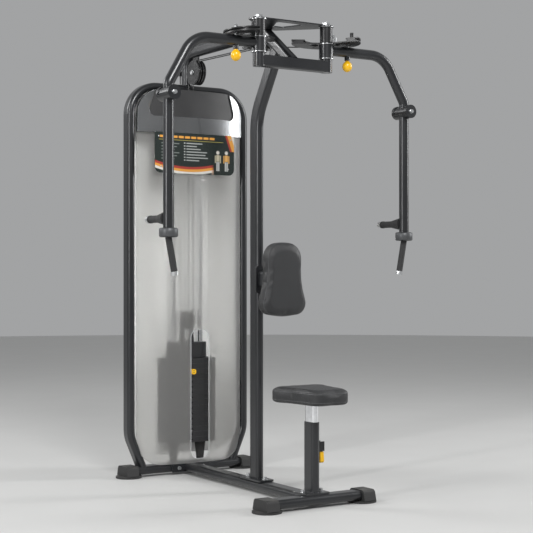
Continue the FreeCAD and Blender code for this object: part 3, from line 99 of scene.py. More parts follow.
# ---------------------------------------------------------------- shader tools
class Net:
    """A node tree with short ways to add and join nodes."""

    def __init__(self, tree):
        self.tree = tree

    def add(self, kind, inputs=None, **settings):
        node = self.tree.nodes.new(kind)
        for key, value in settings.items():
            setattr(node, key, value)
        for key, value in (inputs or {}).items():
            if isinstance(value, bpy.types.NodeSocket):
                self.tree.links.new(value, node.inputs[key])
            else:
                node.inputs[key].default_value = value
        return node

    def math(self, operation, *values, clamp=False):
        node = self.tree.nodes.new("ShaderNodeMath")
        node.operation = operation
        node.use_clamp = clamp
        for slot, value in enumerate(values):
            if isinstance(value, bpy.types.NodeSocket):
                self.tree.links.new(value, node.inputs[slot])
            else:
                node.inputs[slot].default_value = value
        return node.outputs[0]

    def mix(self, share, first, second):
        node = self.tree.nodes.new("ShaderNodeMix")
        node.data_type = "RGBA"
        for slot, value in ((0, share), (6, first), (7, second)):
            if isinstance(value, bpy.types.NodeSocket):
                self.tree.links.new(value, node.inputs[slot])
            else:
                node.inputs[slot].default_value = value
        return node.outputs[2]

    def ramp(self, value, low, high):
        """value spread from 0 at low to 1 at high."""
        node = self.add("ShaderNodeMapRange", {"Value": value, "From Min": low, "From Max": high})
        return node.outputs[0]

    def place(self, scale=(1, 1, 1)):
        where = self.add("ShaderNodeTexCoord")
        return self.add("ShaderNodeMapping", {"Vector": where.outputs["Object"], "Scale": scale}).outputs[0]


def rgb(r, g, b):
    return (r, g, b, 1.0)


def new_group(name, inputs, outputs):
    """A shader node group; inputs and outputs are (name, socket kind, default) rows."""
    group = bpy.data.node_groups.new(name, "ShaderNodeTree")
    for title, kind, value in inputs:
        socket = group.interface.new_socket(title, in_out="INPUT", socket_type=kind)
        if value is not None:
            socket.default_value = value
    for title, kind in outputs:
        group.interface.new_socket(title, in_out="OUTPUT", socket_type=kind)
    net = Net(group)
    source = net.add("NodeGroupInput")
    sink = net.add("NodeGroupOutput")
    return group, net, source.outputs, sink.inputs


def make_powder_group():
    """Powder-coat skin: fine orange peel in Height, cloudy Shade and uneven Rough."""
    rows = (("Scale", "NodeSocketFloat", 900.0), ("Cloud", "NodeSocketFloat", 9.0),
            ("Rough Low", "NodeSocketFloat", 0.3), ("Rough High", "NodeSocketFloat", 0.45))
    outs = (("Height", "NodeSocketFloat"), ("Shade", "NodeSocketFloat"), ("Rough", "NodeSocketFloat"))
    group, net, given, out = new_group("powder_skin", rows, outs)
    spot = net.place()
    peel = net.add("ShaderNodeTexNoise", {"Vector": spot, "Scale": given["Scale"], "Detail": 2.0})
    cloud = net.add("ShaderNodeTexNoise", {"Vector": spot, "Scale": given["Cloud"], "Detail": 4.0})
    net.tree.links.new(peel.outputs[0], out["Height"])
    net.tree.links.new(cloud.outputs[0], out["Shade"])
    fine = net.math("MULTIPLY", peel.outputs[0], 0.4)
    broad = net.math("MULTIPLY", cloud.outputs[0], 0.6)
    blend = net.math("ADD", fine, broad)
    spread = net.add("ShaderNodeMapRange", {"Value": blend, "From Min": 0.3, "From Max": 0.7,
                                            "To Min": given["Rough Low"], "To Max": given["Rough High"]})
    net.tree.links.new(spread.outputs[0], out["Rough"])
    return group


def make_edge_group():
    """Rounded edges: a softened Normal, and Wear where an edge has been rubbed."""
    rows = (("Radius", "NodeSocketFloat", 0.0012), ("Break", "NodeSocketFloat", 60.0))
    outs = (("Normal", "NodeSocketVector"), ("Wear", "NodeSocketFloat"))
    group, net, given, out = new_group("edge_round", rows, outs)
    bevel = net.add("ShaderNodeBevel", {"Radius": given["Radius"]}, samples=4)
    flat = net.add("ShaderNodeNewGeometry").outputs["Normal"]
    agree = net.add("ShaderNodeVectorMath", {0: bevel.outputs[0], 1: flat}, operation="DOT_PRODUCT")
    turned = net.ramp(agree.outputs["Value"], 0.985, 0.86)
    patch = net.add("ShaderNodeTexNoise", {"Vector": net.place(), "Scale": given["Break"], "Detail": 5.0})
    net.tree.links.new(bevel.outputs[0], out["Normal"])
    worn = net.math("MULTIPLY", turned, net.ramp(patch.outputs[0], 0.5, 0.62), clamp=True)
    net.tree.links.new(worn, out["Wear"])
    return group


def make_dust_group():
    """Settled dust: Mask is strong on faces that look up and broken by noise."""
    rows = (("Amount", "NodeSocketFloat", 0.3), ("Scale", "NodeSocketFloat", 14.0))
    group, net, given, out = new_group("dust", rows, (("Mask", "NodeSocketFloat"),))
    up = net.add("ShaderNodeSeparateXYZ", {0: net.add("ShaderNodeNewGeometry").outputs["Normal"]}).outputs[2]
    cloud = net.add("ShaderNodeTexNoise", {"Vector": net.place(), "Scale": given["Scale"], "Detail": 6.0})
    share = net.math("MULTIPLY", net.ramp(up, 0.55, 1.0), net.ramp(cloud.outputs[0], 0.35, 0.75))
    net.tree.links.new(net.math("MULTIPLY", share, given["Amount"], clamp=True), out["Mask"])
    return group


def make_grain_group():
    """Moulded or upholstery grain: raised cells in Height, with Shade, low between the cells, for painted
    shade in those hollows.
    """
    rows = (("Cells", "NodeSocketFloat", 700.0), ("Stretch", "NodeSocketFloat", 0.0004))
    outs = (("Height", "NodeSocketFloat"), ("Shade", "NodeSocketFloat"))
    group, net, given, out = new_group("cell_grain", rows, outs)
    spot = net.place()
    wobble = net.add("ShaderNodeTexNoise", {"Vector": spot, "Scale": 180.0, "Detail": 2.0})
    shift = net.add("ShaderNodeVectorMath", {0: wobble.outputs[1], "Scale": given["Stretch"]},
                    operation="SCALE")
    bent = net.add("ShaderNodeVectorMath", {0: spot, 1: shift.outputs[0]}, operation="ADD")
    cells = net.add("ShaderNodeTexVoronoi", {"Vector": bent.outputs[0], "Scale": given["Cells"]},
                    feature="DISTANCE_TO_EDGE")
    raised = net.ramp(cells.outputs["Distance"], 0.0, 0.16)
    fold = net.add("ShaderNodeTexNoise", {"Vector": spot, "Scale": 22.0, "Detail": 5.0})
    height = net.math("ADD", raised, net.math("MULTIPLY", fold.outputs[0], 0.8))
    net.tree.links.new(height, out["Height"])
    net.tree.links.new(raised, out["Shade"])
    return group


def make_brushed_group():
    """Fine turning or drawing lines along Z, as Height and Rough."""
    rows = (("Across", "NodeSocketFloat", 900.0), ("Along", "NodeSocketFloat", 12.0))
    outs = (("Height", "NodeSocketFloat"), ("Rough", "NodeSocketFloat"))
    group, net, given, out = new_group("brushed", rows, outs)
    where = net.add("ShaderNodeTexCoord").outputs["Object"]
    scale = net.add("ShaderNodeCombineXYZ", {0: given["Across"], 1: given["Across"], 2: given["Along"]})
    spot = net.add("ShaderNodeVectorMath", {0: where, 1: scale.outputs[0]}, operation="MULTIPLY")
    lines = net.add("ShaderNodeTexNoise", {"Vector": spot.outputs[0], "Scale": 1.0, "Detail": 3.0})
    net.tree.links.new(lines.outputs[0], out["Height"])
    net.tree.links.new(net.ramp(lines.outputs[0], 0.2, 0.8), out["Rough"])
    return group


GROUPS = {
    "powder": make_powder_group(),
    "edge": make_edge_group(),
    "dust": make_dust_group(),
    "grain": make_grain_group(),
    "brushed": make_brushed_group(),
}


def use_group(net, key, **inputs):
    node = net.add("ShaderNodeGroup", node_tree=GROUPS[key])
    for name, value in inputs.items():
        node.inputs[name.replace("_", " ")].default_value = value
    return node.outputs


def start_material(name, **sockets):
    material = bpy.data.materials.new(name)
    material.use_nodes = True
    net = Net(material.node_tree)
    shader = material.node_tree.nodes["Principled BSDF"]
    for key, value in sockets.items():
        shader.inputs[key.replace("_", " ")].default_value = value
    return material, net, shader


def finish_surface(net, shader, colour, rough, height, depth, distance, edge=None):
    """Feeds a shader its colour, roughness and bump; the bump starts from the rounded edges."""
    link = net.tree.links.new
    if isinstance(colour, bpy.types.NodeSocket):
        link(colour, shader.inputs["Base Color"])
    else:
        shader.inputs["Base Color"].default_value = colour
    if isinstance(rough, bpy.types.NodeSocket):
        link(rough, shader.inputs["Roughness"])
    else:
        shader.inputs["Roughness"].default_value = rough
    bump = net.add("ShaderNodeBump", {"Height": height, "Strength": depth, "Distance": distance})
    if edge is not None:
        link(edge, bump.inputs["Normal"])
    link(bump.outputs[0], shader.inputs["Normal"])


# ---------------------------------------------------------------- materials
def coated_metal(name, dark, light, worn, rough_low, rough_high, metallic,
                 dust=0.25, radius=0.0014, coat=0.25):
    """Powder-coated steel with a metallic fleck, rubbed edges and a little dust."""
    material, net, shader = start_material(name, Metallic=metallic, Coat_Weight=coat, Coat_Roughness=0.22)
    skin = use_group(net, "powder", Scale=1100.0, Cloud=7.0, Rough_Low=rough_low, Rough_High=rough_high)
    edge = use_group(net, "edge", Radius=radius, Break=55.0)
    settled = use_group(net, "dust", Amount=dust, Scale=16.0)
    fleck = net.add("ShaderNodeTexVoronoi", {"Vector": net.place(), "Scale": 2600.0})
    tone = net.mix(skin["Shade"], dark, light)
    sparkle = net.math("MULTIPLY", net.ramp(fleck.outputs["Distance"], 0.18, 0.05), 0.35)
    tone = net.mix(sparkle, tone, rgb(0.12, 0.125, 0.13))
    tone = net.mix(net.math("MULTIPLY", edge["Wear"], 0.55), tone, worn)
    tone = net.mix(settled["Mask"], tone, rgb(0.3, 0.3, 0.29))
    rough = net.math("ADD", skin["Rough"], net.math("MULTIPLY", settled["Mask"], 0.4))
    finish_surface(net, shader, tone, rough, skin["Height"], 0.18, 0.0004, edge["Normal"])
    return material


def bright_metal(name, colour, rough, swing, depth):
    """Plated or turned steel with fine lines and slightly soft edges."""
    material, net, shader = start_material(name, Metallic=1.0)
    lines = use_group(net, "brushed", Across=1400.0, Along=40.0)
    edge = use_group(net, "edge", Radius=0.0008, Break=80.0)
    stain = net.add("ShaderNodeTexNoise", {"Vector": net.place(), "Scale": 30.0, "Detail": 4.0})
    darker = tuple(c * 0.72 for c in colour[:3]) + (1.0,)
    tone = net.mix(net.ramp(stain.outputs[0], 0.35, 0.75), colour, darker)
    shine = net.add("ShaderNodeMapRange", {"Value": lines["Rough"], "To Min": rough, "To Max": rough + swing})
    finish_surface(net, shader, tone, shine.outputs[0], lines["Height"], depth, 0.0002, edge["Normal"])
    return material


def moulded(name, colour, second, rough_low, rough_high, cells, depth, coat=0.0, dust=0.1):
    """Moulded plastic or rubber with a fine spark-eroded grain."""
    material, net, shader = start_material(name, Coat_Weight=coat, Coat_Roughness=0.15)
    grain = use_group(net, "grain", Cells=cells, Stretch=0.0005)
    skin = use_group(net, "powder", Scale=500.0, Cloud=12.0, Rough_Low=rough_low, Rough_High=rough_high)
    edge = use_group(net, "edge", Radius=0.001, Break=40.0)
    settled = use_group(net, "dust", Amount=dust, Scale=20.0)
    tone = net.mix(skin["Shade"], colour, second)
    tone = net.mix(settled["Mask"], tone, rgb(0.33, 0.32, 0.3))
    finish_surface(net, shader, tone, skin["Rough"], grain["Height"], depth, 0.0003, edge["Normal"])
    return material


def upholstery():
    """Black vinyl: a pebbled grain and broad soft creases."""
    material, net, shader = start_material("pad_vinyl", Coat_Weight=0.12, Coat_Roughness=0.3)
    grain = use_group(net, "grain", Cells=620.0, Stretch=0.0009)
    skin = use_group(net, "powder", Scale=260.0, Cloud=5.0, Rough_Low=0.42, Rough_High=0.58)
    settled = use_group(net, "dust", Amount=0.18, Scale=10.0)
    tone = net.mix(skin["Shade"], rgb(0.013, 0.0135, 0.015), rgb(0.022, 0.023, 0.025))
    # painted shade: the vinyl is darkened in the hollows between the grain's raised cells
    painted_valley_shade = net.math("MULTIPLY", net.math("SUBTRACT", 1.0, grain["Shade"]), 0.6)
    tone = net.mix(painted_valley_shade, tone, rgb(0.01, 0.01, 0.011))
    tone = net.mix(settled["Mask"], tone, rgb(0.16, 0.16, 0.16))
    finish_surface(net, shader, tone, skin["Rough"], grain["Height"], 0.35, 0.0005)
    return material


def piping():
    """Sewn seam of the pads: the same vinyl, smoother, toned lighter as a painted highlight along the seam.
    """
    material, net, shader = start_material("pad_piping_painted_highlight", Coat_Weight=0.2, Coat_Roughness=0.25)
    grain = use_group(net, "grain", Cells=900.0, Stretch=0.0005)
    skin = use_group(net, "powder", Scale=300.0, Cloud=9.0, Rough_Low=0.34, Rough_High=0.48)
    # painted highlight: the seam is toned lighter than the pad's vinyl, for the light caught along the pad's
    # edge
    tone = net.mix(skin["Shade"], rgb(0.05, 0.052, 0.055), rgb(0.085, 0.087, 0.09))
    finish_surface(net, shader, tone, skin["Rough"], grain["Height"], 0.2, 0.0003)
    return material


def frosted_sheet(name, tint, rough, clear_share, shadow_share):
    """Satin acrylic: blurs what stands behind it and lets lamps through to the inside."""
    material, net, shader = start_material(name, Base_Color=tint, Transmission_Weight=clear_share, IOR=1.2,
                                           Roughness=rough, Specular_IOR_Level=0.5)
    skin = use_group(net, "powder", Scale=1500.0, Cloud=4.0, Rough_Low=rough - 0.03, Rough_High=rough + 0.03)
    net.tree.links.new(skin["Rough"], shader.inputs["Roughness"])
    bump = net.add("ShaderNodeBump", {"Height": skin["Height"], "Strength": 0.05, "Distance": 0.0002})
    net.tree.links.new(bump.outputs[0], shader.inputs["Normal"])
    path = net.add("ShaderNodeLightPath")
    open_share = net.math("MULTIPLY", path.outputs["Is Shadow Ray"], shadow_share)
    clear = net.add("ShaderNodeBsdfTransparent", {"Color": rgb(0.9, 0.91, 0.92)})
    both = net.add("ShaderNodeMixShader", {0: open_share, 1: shader.outputs[0], 2: clear.outputs[0]})
    net.tree.links.new(both.outputs[0], net.tree.nodes["Material Output"].inputs["Surface"])
    return material


def header_gloss():
    """Lacquered silver plastic of the header cap."""
    material, net, shader = start_material("header_silver", Metallic=0.75, Coat_Weight=0.8,
                                           Coat_Roughness=0.06)
    skin = use_group(net, "powder", Scale=900.0, Cloud=5.0, Rough_Low=0.2, Rough_High=0.28)
    edge = use_group(net, "edge", Radius=0.003, Break=50.0)
    tone = net.mix(skin["Shade"], rgb(0.14, 0.145, 0.15), rgb(0.2, 0.205, 0.21))
    finish_surface(net, shader, tone, skin["Rough"], skin["Height"], 0.06, 0.0003, edge["Normal"])
    return material


class Print:
    """Flat printed shapes on the placard, laid over each other in its own X and Z."""

    def __init__(self, net, low, high):
        self.net = net
        where = net.add("ShaderNodeTexCoord").outputs["Object"]
        parts = net.add("ShaderNodeSeparateXYZ", {0: where}).outputs
        across = {"Value": parts[0], "From Min": low.x, "From Max": high.x}
        upward = {"Value": parts[2], "From Min": low.z, "From Max": high.z}
        self.x = net.add("ShaderNodeMapRange", across, clamp=False).outputs[0]
        self.z = net.add("ShaderNodeMapRange", upward, clamp=False).outputs[0]
        self.wide, self.tall = high.x - low.x, high.z - low.z
        self.tone = rgb(0.012, 0.02, 0.017)

    def lay(self, mask, colour):
        self.tone = self.net.mix(mask, self.tone, colour)

    def below(self, value, edge, soft=0.006):
        return self.net.ramp(value, edge + soft, edge - soft)

    def bar(self, x0, x1, z0, z1):
        m = self.net.math
        side = m("MULTIPLY", self.below(self.x, x1), m("SUBTRACT", 1.0, self.below(self.x, x0)))
        tall = m("MULTIPLY", self.below(self.z, z1), m("SUBTRACT", 1.0, self.below(self.z, z0)))
        return m("MULTIPLY", side, tall)

    def disc(self, x, z, radius):
        m = self.net.math
        dx = m("MULTIPLY", m("SUBTRACT", self.x, x), self.wide / self.tall)
        dz = m("SUBTRACT", self.z, z)
        far = m("SQRT", m("ADD", m("MULTIPLY", dx, dx), m("MULTIPLY", dz, dz)))
        return self.below(far, radius, 0.012)

    def wave(self, start, dip):
        """Below a sagging curve that starts at height start on the left and rises to the right."""
        m = self.net.math
        across = m("SUBTRACT", self.x, 0.42)
        bowl = m("MULTIPLY", m("MULTIPLY", across, across), start)
        edge = m("ADD", bowl, dip)
        return self.net.ramp(m("SUBTRACT", self.z, edge), 0.008, -0.008)


def printed_board():
    """Instruction board: plain bars, a swoosh and two stick figures, with no lettering."""
    material, net, shader = start_material("placard_print", Roughness=0.22, Coat_Weight=0.5,
                                           Coat_Roughness=0.08)
    low, high = low_high("instruction_placard")
    ink = Print(net, low, high)
    white, orange, red = rgb(0.78, 0.76, 0.7), rgb(0.8, 0.36, 0.06), rgb(0.42, 0.045, 0.03)
    left = ink.below(ink.x, 0.72, 0.02)
    for dip, colour in ((0.17, red), (0.11, orange), (0.045, white)):
        ink.lay(net.math("MULTIPLY", ink.wave(0.78, dip), left), colour)
    ink.lay(net.math("MULTIPLY", ink.wave(0.78, -0.015), left), rgb(0.012, 0.02, 0.017))
    slope = net.math("ADD", ink.x, net.math("MULTIPLY", ink.z, 0.16))
    for reach, colour in ((1.045, red), (1.07, orange), (1.12, white)):
        corner = net.math("SUBTRACT", 1.0, ink.below(slope, reach))
        ink.lay(net.math("MULTIPLY", corner, net.math("SUBTRACT", 1.0, ink.below(ink.z, 0.6))), colour)
    for step in range(9):
        x0 = 0.06 + step * 0.078
        ink.lay(ink.bar(x0, x0 + 0.062, 0.87, 0.925), orange)
    ink.lay(ink.bar(0.05, 0.86, 0.815, 0.825), rgb(0.5, 0.42, 0.1))
    for row, reach in enumerate((0.2, 0.13, 0.18, 0.26, 0.24, 0.27, 0.16)):
        z = 0.74 - row * 0.07
        ink.lay(ink.bar(0.36, 0.375, z, z + 0.03), rgb(0.5, 0.52, 0.5))
        ink.lay(ink.bar(0.39, 0.39 + reach, z, z + 0.026), rgb(0.4, 0.42, 0.41))
    for row in range(6):
        z = 0.72 - row * 0.075
        ink.lay(ink.bar(0.08, 0.3 - 0.03 * (row % 3), z, z + 0.022), rgb(0.2, 0.22, 0.21))
    for x, shirt in ((0.79, rgb(0.55, 0.5, 0.36)), (0.9, rgb(0.78, 0.42, 0.12))):
        ink.lay(ink.disc(x, 0.56, 0.045), rgb(0.7, 0.66, 0.6))
        ink.lay(ink.bar(x - 0.02, x + 0.02, 0.34, 0.5), shirt)
        for side in (-1, 1):
            arm, leg = x + side * 0.032, x + side * 0.011
            ink.lay(ink.bar(arm - 0.006, arm + 0.006, 0.3, 0.49), shirt)
            ink.lay(ink.bar(leg - 0.008, leg + 0.008, 0.1, 0.33), rgb(0.6, 0.6, 0.58))
    skin = use_group(net, "powder", Scale=900.0, Cloud=6.0, Rough_Low=0.18, Rough_High=0.28)
    outward = net.add("ShaderNodeNewGeometry").outputs["Normal"]
    facing = net.add("ShaderNodeSeparateXYZ", {0: outward}).outputs[1]
    tone = net.mix(net.ramp(facing, -0.6, -0.9), rgb(0.02, 0.02, 0.02), ink.tone)
    finish_surface(net, shader, tone, skin["Rough"], skin["Height"], 0.03, 0.0002)
    return material


MAT = {
    "frame": coated_metal("frame_graphite", rgb(0.014, 0.015, 0.017), rgb(0.022, 0.023, 0.026),
                          rgb(0.09, 0.095, 0.1), 0.27, 0.36, 0.35, dust=0.06, coat=0.45),
    "collar": coated_metal("collar_grey", rgb(0.07, 0.073, 0.077), rgb(0.1, 0.103, 0.108),
                           rgb(0.3, 0.3, 0.31), 0.42, 0.55, 0.5, dust=0.1, coat=0.1),
    "speckled": coated_metal("speckled_silver", rgb(0.42, 0.43, 0.44), rgb(0.62, 0.63, 0.64),
                             rgb(0.8, 0.8, 0.81), 0.3, 0.42, 0.85, dust=0.1),
    "dot": moulded("dark_dot", rgb(0.02, 0.018, 0.01), rgb(0.03, 0.028, 0.02), 0.4, 0.5, 600.0, 0.1),
    "trim": moulded("slot_trim", rgb(0.6, 0.61, 0.62), rgb(0.7, 0.71, 0.72), 0.3, 0.4, 500.0, 0.05, coat=0.3),
    "black_steel": coated_metal("satin_black_steel", rgb(0.012, 0.012, 0.013), rgb(0.02, 0.02, 0.021),
                                rgb(0.14, 0.14, 0.145), 0.32, 0.44, 0.4),
    "plates": coated_metal("stack_plates", rgb(0.014, 0.014, 0.015), rgb(0.024, 0.024, 0.026),
                           rgb(0.15, 0.15, 0.155), 0.42, 0.58, 0.3, dust=0.3, radius=0.002, coat=0.1),
    "zinc": bright_metal("zinc_plate", rgb(0.66, 0.67, 0.68), 0.2, 0.16, 0.1),
    "chrome": bright_metal("chrome_tube", rgb(0.84, 0.85, 0.87), 0.05, 0.06, 0.03),
    "aluminium": bright_metal("turned_aluminium", rgb(0.78, 0.79, 0.8), 0.22, 0.14, 0.12),
    "rubber": moulded("boot_rubber", rgb(0.018, 0.018, 0.018), rgb(0.03, 0.03, 0.03), 0.55, 0.72, 420.0, 0.3,
                      dust=0.3),
    "grip": moulded("grip_rubber", rgb(0.016, 0.016, 0.017), rgb(0.028, 0.028, 0.029), 0.6, 0.78, 1300.0,
                    0.5),
    "plastic": moulded("black_plastic", rgb(0.02, 0.02, 0.021), rgb(0.03, 0.03, 0.031), 0.38, 0.52, 800.0,
                       0.25),
    "pulley": moulded("pulley_nylon", rgb(0.01, 0.01, 0.011), rgb(0.016, 0.016, 0.017), 0.2, 0.32, 500.0,
                      0.08, coat=0.4),
    "cable": moulded("cable_jacket", rgb(0.012, 0.012, 0.012), rgb(0.02, 0.02, 0.02), 0.25, 0.4, 500.0, 0.1,
                     coat=0.3),
    "yellow": moulded("yellow_knob", rgb(0.84, 0.45, 0.0), rgb(0.9, 0.52, 0.004), 0.25, 0.36, 700.0, 0.06,
                      coat=0.3),
    "vinyl": upholstery(),
    "piping": piping(),
    "frost": frosted_sheet("frosted_sheet", rgb(0.72, 0.715, 0.7), 0.4, 0.9, 0.72),
    "milk": frosted_sheet("milky_sheet", rgb(0.97, 0.97, 0.96), 0.5, 0.06, 0.25),
    "header": header_gloss(),
    "board": printed_board(),
}


def dress(node, key):
    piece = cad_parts[node]
    piece.data.materials.clear()
    piece.data.materials.append(MAT[key])
    for face in piece.data.polygons:
        face.material_index = 0


FINISHES = {
    "frame": ("rear_foot_beam", "front_foot_beam", "base_spine", "tower_hoop", "column", "boom", "crossbeam",
              "back_pad_bracket", "seat_post_outer", "left_arm", "right_arm", "left_handle_tube",
              "right_handle_tube", "top_tie_plate"),
    "black_steel": ("left_cam", "right_cam", "pulley_brackets", "pulley_fork", "lever_bracket", "seat_plate",
                    "seat_lever"),
    "plates": ("resting_plates", "lifted_plates", "head_plate"),
    "zinc": ("frame_bolts", "pivot_shafts", "pivot_washers", "left_pull_pin", "right_pull_pin",
             "left_hinge_bolt", "right_hinge_bolt"),
    "chrome": ("guide_rods", "selector_stem", "seat_post_inner"),
    "aluminium": ("left_grip_caps", "right_grip_caps"),
    "rubber": ("rubber_boots", "rod_bumpers"),
    "grip": ("left_hand_grips", "right_hand_grips"),
    "plastic": ("seat_post_bushing", "header_inset"),
    "pulley": ("top_pulleys", "floating_pulley", "left_guide_pulley", "right_guide_pulley"),
    "cable": ("left_cable", "right_cable", "cable_loops", "lift_cables"),
    "yellow": ("left_pin_knob", "right_pin_knob", "selector_pin", "lever_grip"),
    "frost": ("front_shroud",),
    "milk": ("rear_shroud",),
    "header": ("header_cap",),
    "board": ("instruction_placard",),
    "vinyl": ("back_pad", "seat_pad"),
}
for key, nodes in FINISHES.items():
    for node in nodes:
        dress(node, key)


# ---------------------------------------------------------------- mesh tools
def new_piece(name, mesh, key, body):
    piece = bpy.data.objects.new(name, mesh)
    bpy.context.scene.collection.objects.link(piece)
    mesh.materials.clear()
    mesh.materials.append(MAT[key])
    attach(piece, body)
    return piece


def mesh_from(bm, name, smooth=True):
    bmesh.ops.recalc_face_normals(bm, faces=bm.faces)
    mesh = bpy.data.meshes.new(name)
    bm.to_mesh(mesh)
    bm.free()
    for face in mesh.polygons:
        face.use_smooth = smooth
    return mesh


def loft(name, loops, close_ends=True):
    """A skin over rings of points that all have the same count."""
    bm = bmesh.new()
    rings = [[bm.verts.new(p) for p in loop] for loop in loops]
    count = len(rings[0])
    for first, second in zip(rings, rings[1:]):
        for i in range(count):
            j = (i + 1) % count
            bm.faces.new((first[i], first[j], second[j], second[i]))
    if close_ends:
        bm.faces.new(rings[0])
        bm.faces.new(list(reversed(rings[-1])))
    return mesh_from(bm, name)


def axes_for(axis):
    axis = Vector(axis).normalized()
    side = axis.orthogonal().normalized()
    return axis, side, axis.cross(side)


def lathe(name, profile, base, axis, steps=48):
    """profile is (distance along the axis, radius) from one end to the other."""
    base = Vector(base)
    axis, side, other = axes_for(axis)
    loops = []
    for along, radius in profile:
        turn = [2 * math.pi * i / steps for i in range(steps)]
        centre = base + axis * along
        loops.append([centre + (side * math.cos(t) + other * math.sin(t)) * radius for t in turn])
    return loft(name, loops)


def tube_along(name, points, radius, closed=False, steps=12, wobble=0.0, seed=0.0):
    """A round bead or cord over given or worked-out points."""
    points = [Vector(p) for p in points]
    count = len(points)
    loops, normal = [], None
    for i, point in enumerate(points):
        ahead = points[(i + 1) % count] if closed or i + 1 < count else point
        behind = points[i - 1] if closed or i > 0 else point
        heading = (ahead - behind).normalized()
        if normal is None:
            normal = heading.orthogonal().normalized()
        normal = (normal - heading * normal.dot(heading)).normalized()
        other = heading.cross(normal)
        size = radius * (1 + wobble * noise.noise(point * 400 + Vector((seed, 0, 0))))
        turn = [2 * math.pi * k / steps for k in range(steps)]
        loops.append([point + (normal * math.cos(t) + other * math.sin(t)) * size for t in turn])
    if closed:
        loops.append(loops[0])
    mesh = loft(name, loops, close_ends=not closed)
    if closed:
        bm = bmesh.new()
        bm.from_mesh(mesh)
        bmesh.ops.remove_doubles(bm, verts=bm.verts, dist=1e-6)
        bm.to_mesh(mesh)
        bm.free()
    return mesh


def rounded_outline(corners, radii, per_arc=10, per_side=8):
    """Points round a polygon in the plane, with an arc at each corner."""
    corners = [Vector(c) for c in corners]
    count = len(corners)
    arcs = []
    for i, corner in enumerate(corners):
        back = (corners[i - 1] - corner).normalized()
        ahead = (corners[(i + 1) % count] - corner).normalized()
        half = back.angle(ahead) / 2
        reach = radii[i] / math.tan(half)
        centre = corner + (back + ahead).normalized() * (radii[i] / math.sin(half))
        first, last = corner + back * reach - centre, corner + ahead * reach - centre
        turn = math.atan2(first.x * last.y - first.y * last.x, first.dot(last))
        arcs.append([centre + Matrix.Rotation(turn * k / per_arc, 2) @ first for k in range(per_arc + 1)])
    points = []
    for i, arc in enumerate(arcs):
        points += arc
        ahead = arcs[(i + 1) % count][0]
        points += [arc[-1].lerp(ahead, k / per_side) for k in range(1, per_side)]
    return points


# ---------------------------------------------------------------- upholstered pads
def swell(mesh, cap, seconds=20):
    """Inflates a closed form as cloth, keeping each point within cap of where it started."""
    scene = bpy.context.scene
    piece = bpy.data.objects.new("pad_form", mesh)
    scene.collection.objects.link(piece)
    bpy.context.view_layer.objects.active = piece
    remesh = piece.modifiers.new("skin", "REMESH")
    remesh.mode = "VOXEL"
    remesh.voxel_size = PAD_VOXEL
    bpy.context.view_layer.update()
    solid = bpy.data.meshes.new_from_object(piece.evaluated_get(bpy.context.evaluated_depsgraph_get()))
    piece.modifiers.clear()
    piece.data = solid
    start = [v.co.copy() for v in solid.vertices]
    cloth = piece.modifiers.new("cover", "CLOTH")
    cloth.settings.quality = 5
    cloth.settings.use_pressure = True
    cloth.settings.uniform_pressure_force = 4.0
    cloth.settings.tension_stiffness = 25.0
    cloth.settings.bending_stiffness = 4.0
    cloth.settings.effector_weights.gravity = 0.0
    cloth.point_cache.frame_end = seconds
    for step in range(1, seconds + 1):
        scene.frame_set(step)
    shaped = bpy.data.meshes.new_from_object(piece.evaluated_get(bpy.context.evaluated_depsgraph_get()))
    for vertex, first in zip(shaped.vertices, start):
        move = vertex.co - first
        if move.length > cap:
            vertex.co = first + move * (cap / move.length)
    scene.frame_set(1)
    bpy.data.objects.remove(piece)
    return shaped


def pad_form(outline, thick, inset, edge):
    """A closed pad: outline points in the plane, thick along +Z, with rounded rims."""
    centre = sum(outline, Vector((0, 0))) / len(outline)

    def ring(shrink, height):
        points = []
        for p in outline:
            away = p - centre
            points.append(Vector((*(centre + away * (1 - shrink / away.length)), height)))
        return points

    loops = []
    for k in range(7):
        turn = math.pi / 2 * k / 6
        loops.append(ring(inset + edge * (1 - math.sin(turn)), inset + edge * (1 - math.cos(turn))))
    for k in range(7):
        turn = math.pi / 2 * k / 6
        loops.append(ring(inset + edge * (1 - math.cos(turn)), thick - inset - edge * (1 - math.sin(turn))))
    return loft("pad_block", loops)


def smoothed(mesh, times=4):
    """Relaxes a mesh in place."""
    bm = bmesh.new()
    bm.from_mesh(mesh)
    for _ in range(times):
        bmesh.ops.smooth_vert(bm, verts=bm.verts, factor=0.5,
                              use_axis_x=True, use_axis_y=True, use_axis_z=True)
    bm.to_mesh(mesh)
    bm.free()


def seam_ring(skin, outline, height, sink):
    """Points where the pad's side meets a level plane, a little inside its skin."""
    centre = sum(outline, Vector((0, 0))) / len(outline)
    points = []
    for p in outline:
        away = (p - centre).normalized()
        far = Vector((*(p + away * 0.05), height))
        hit = skin.ray_cast(far, Vector((-away.x, -away.y, 0)))[0]
        if hit is not None:
            points.append(hit - Vector((away.x, away.y, 0)) * sink)
    return points


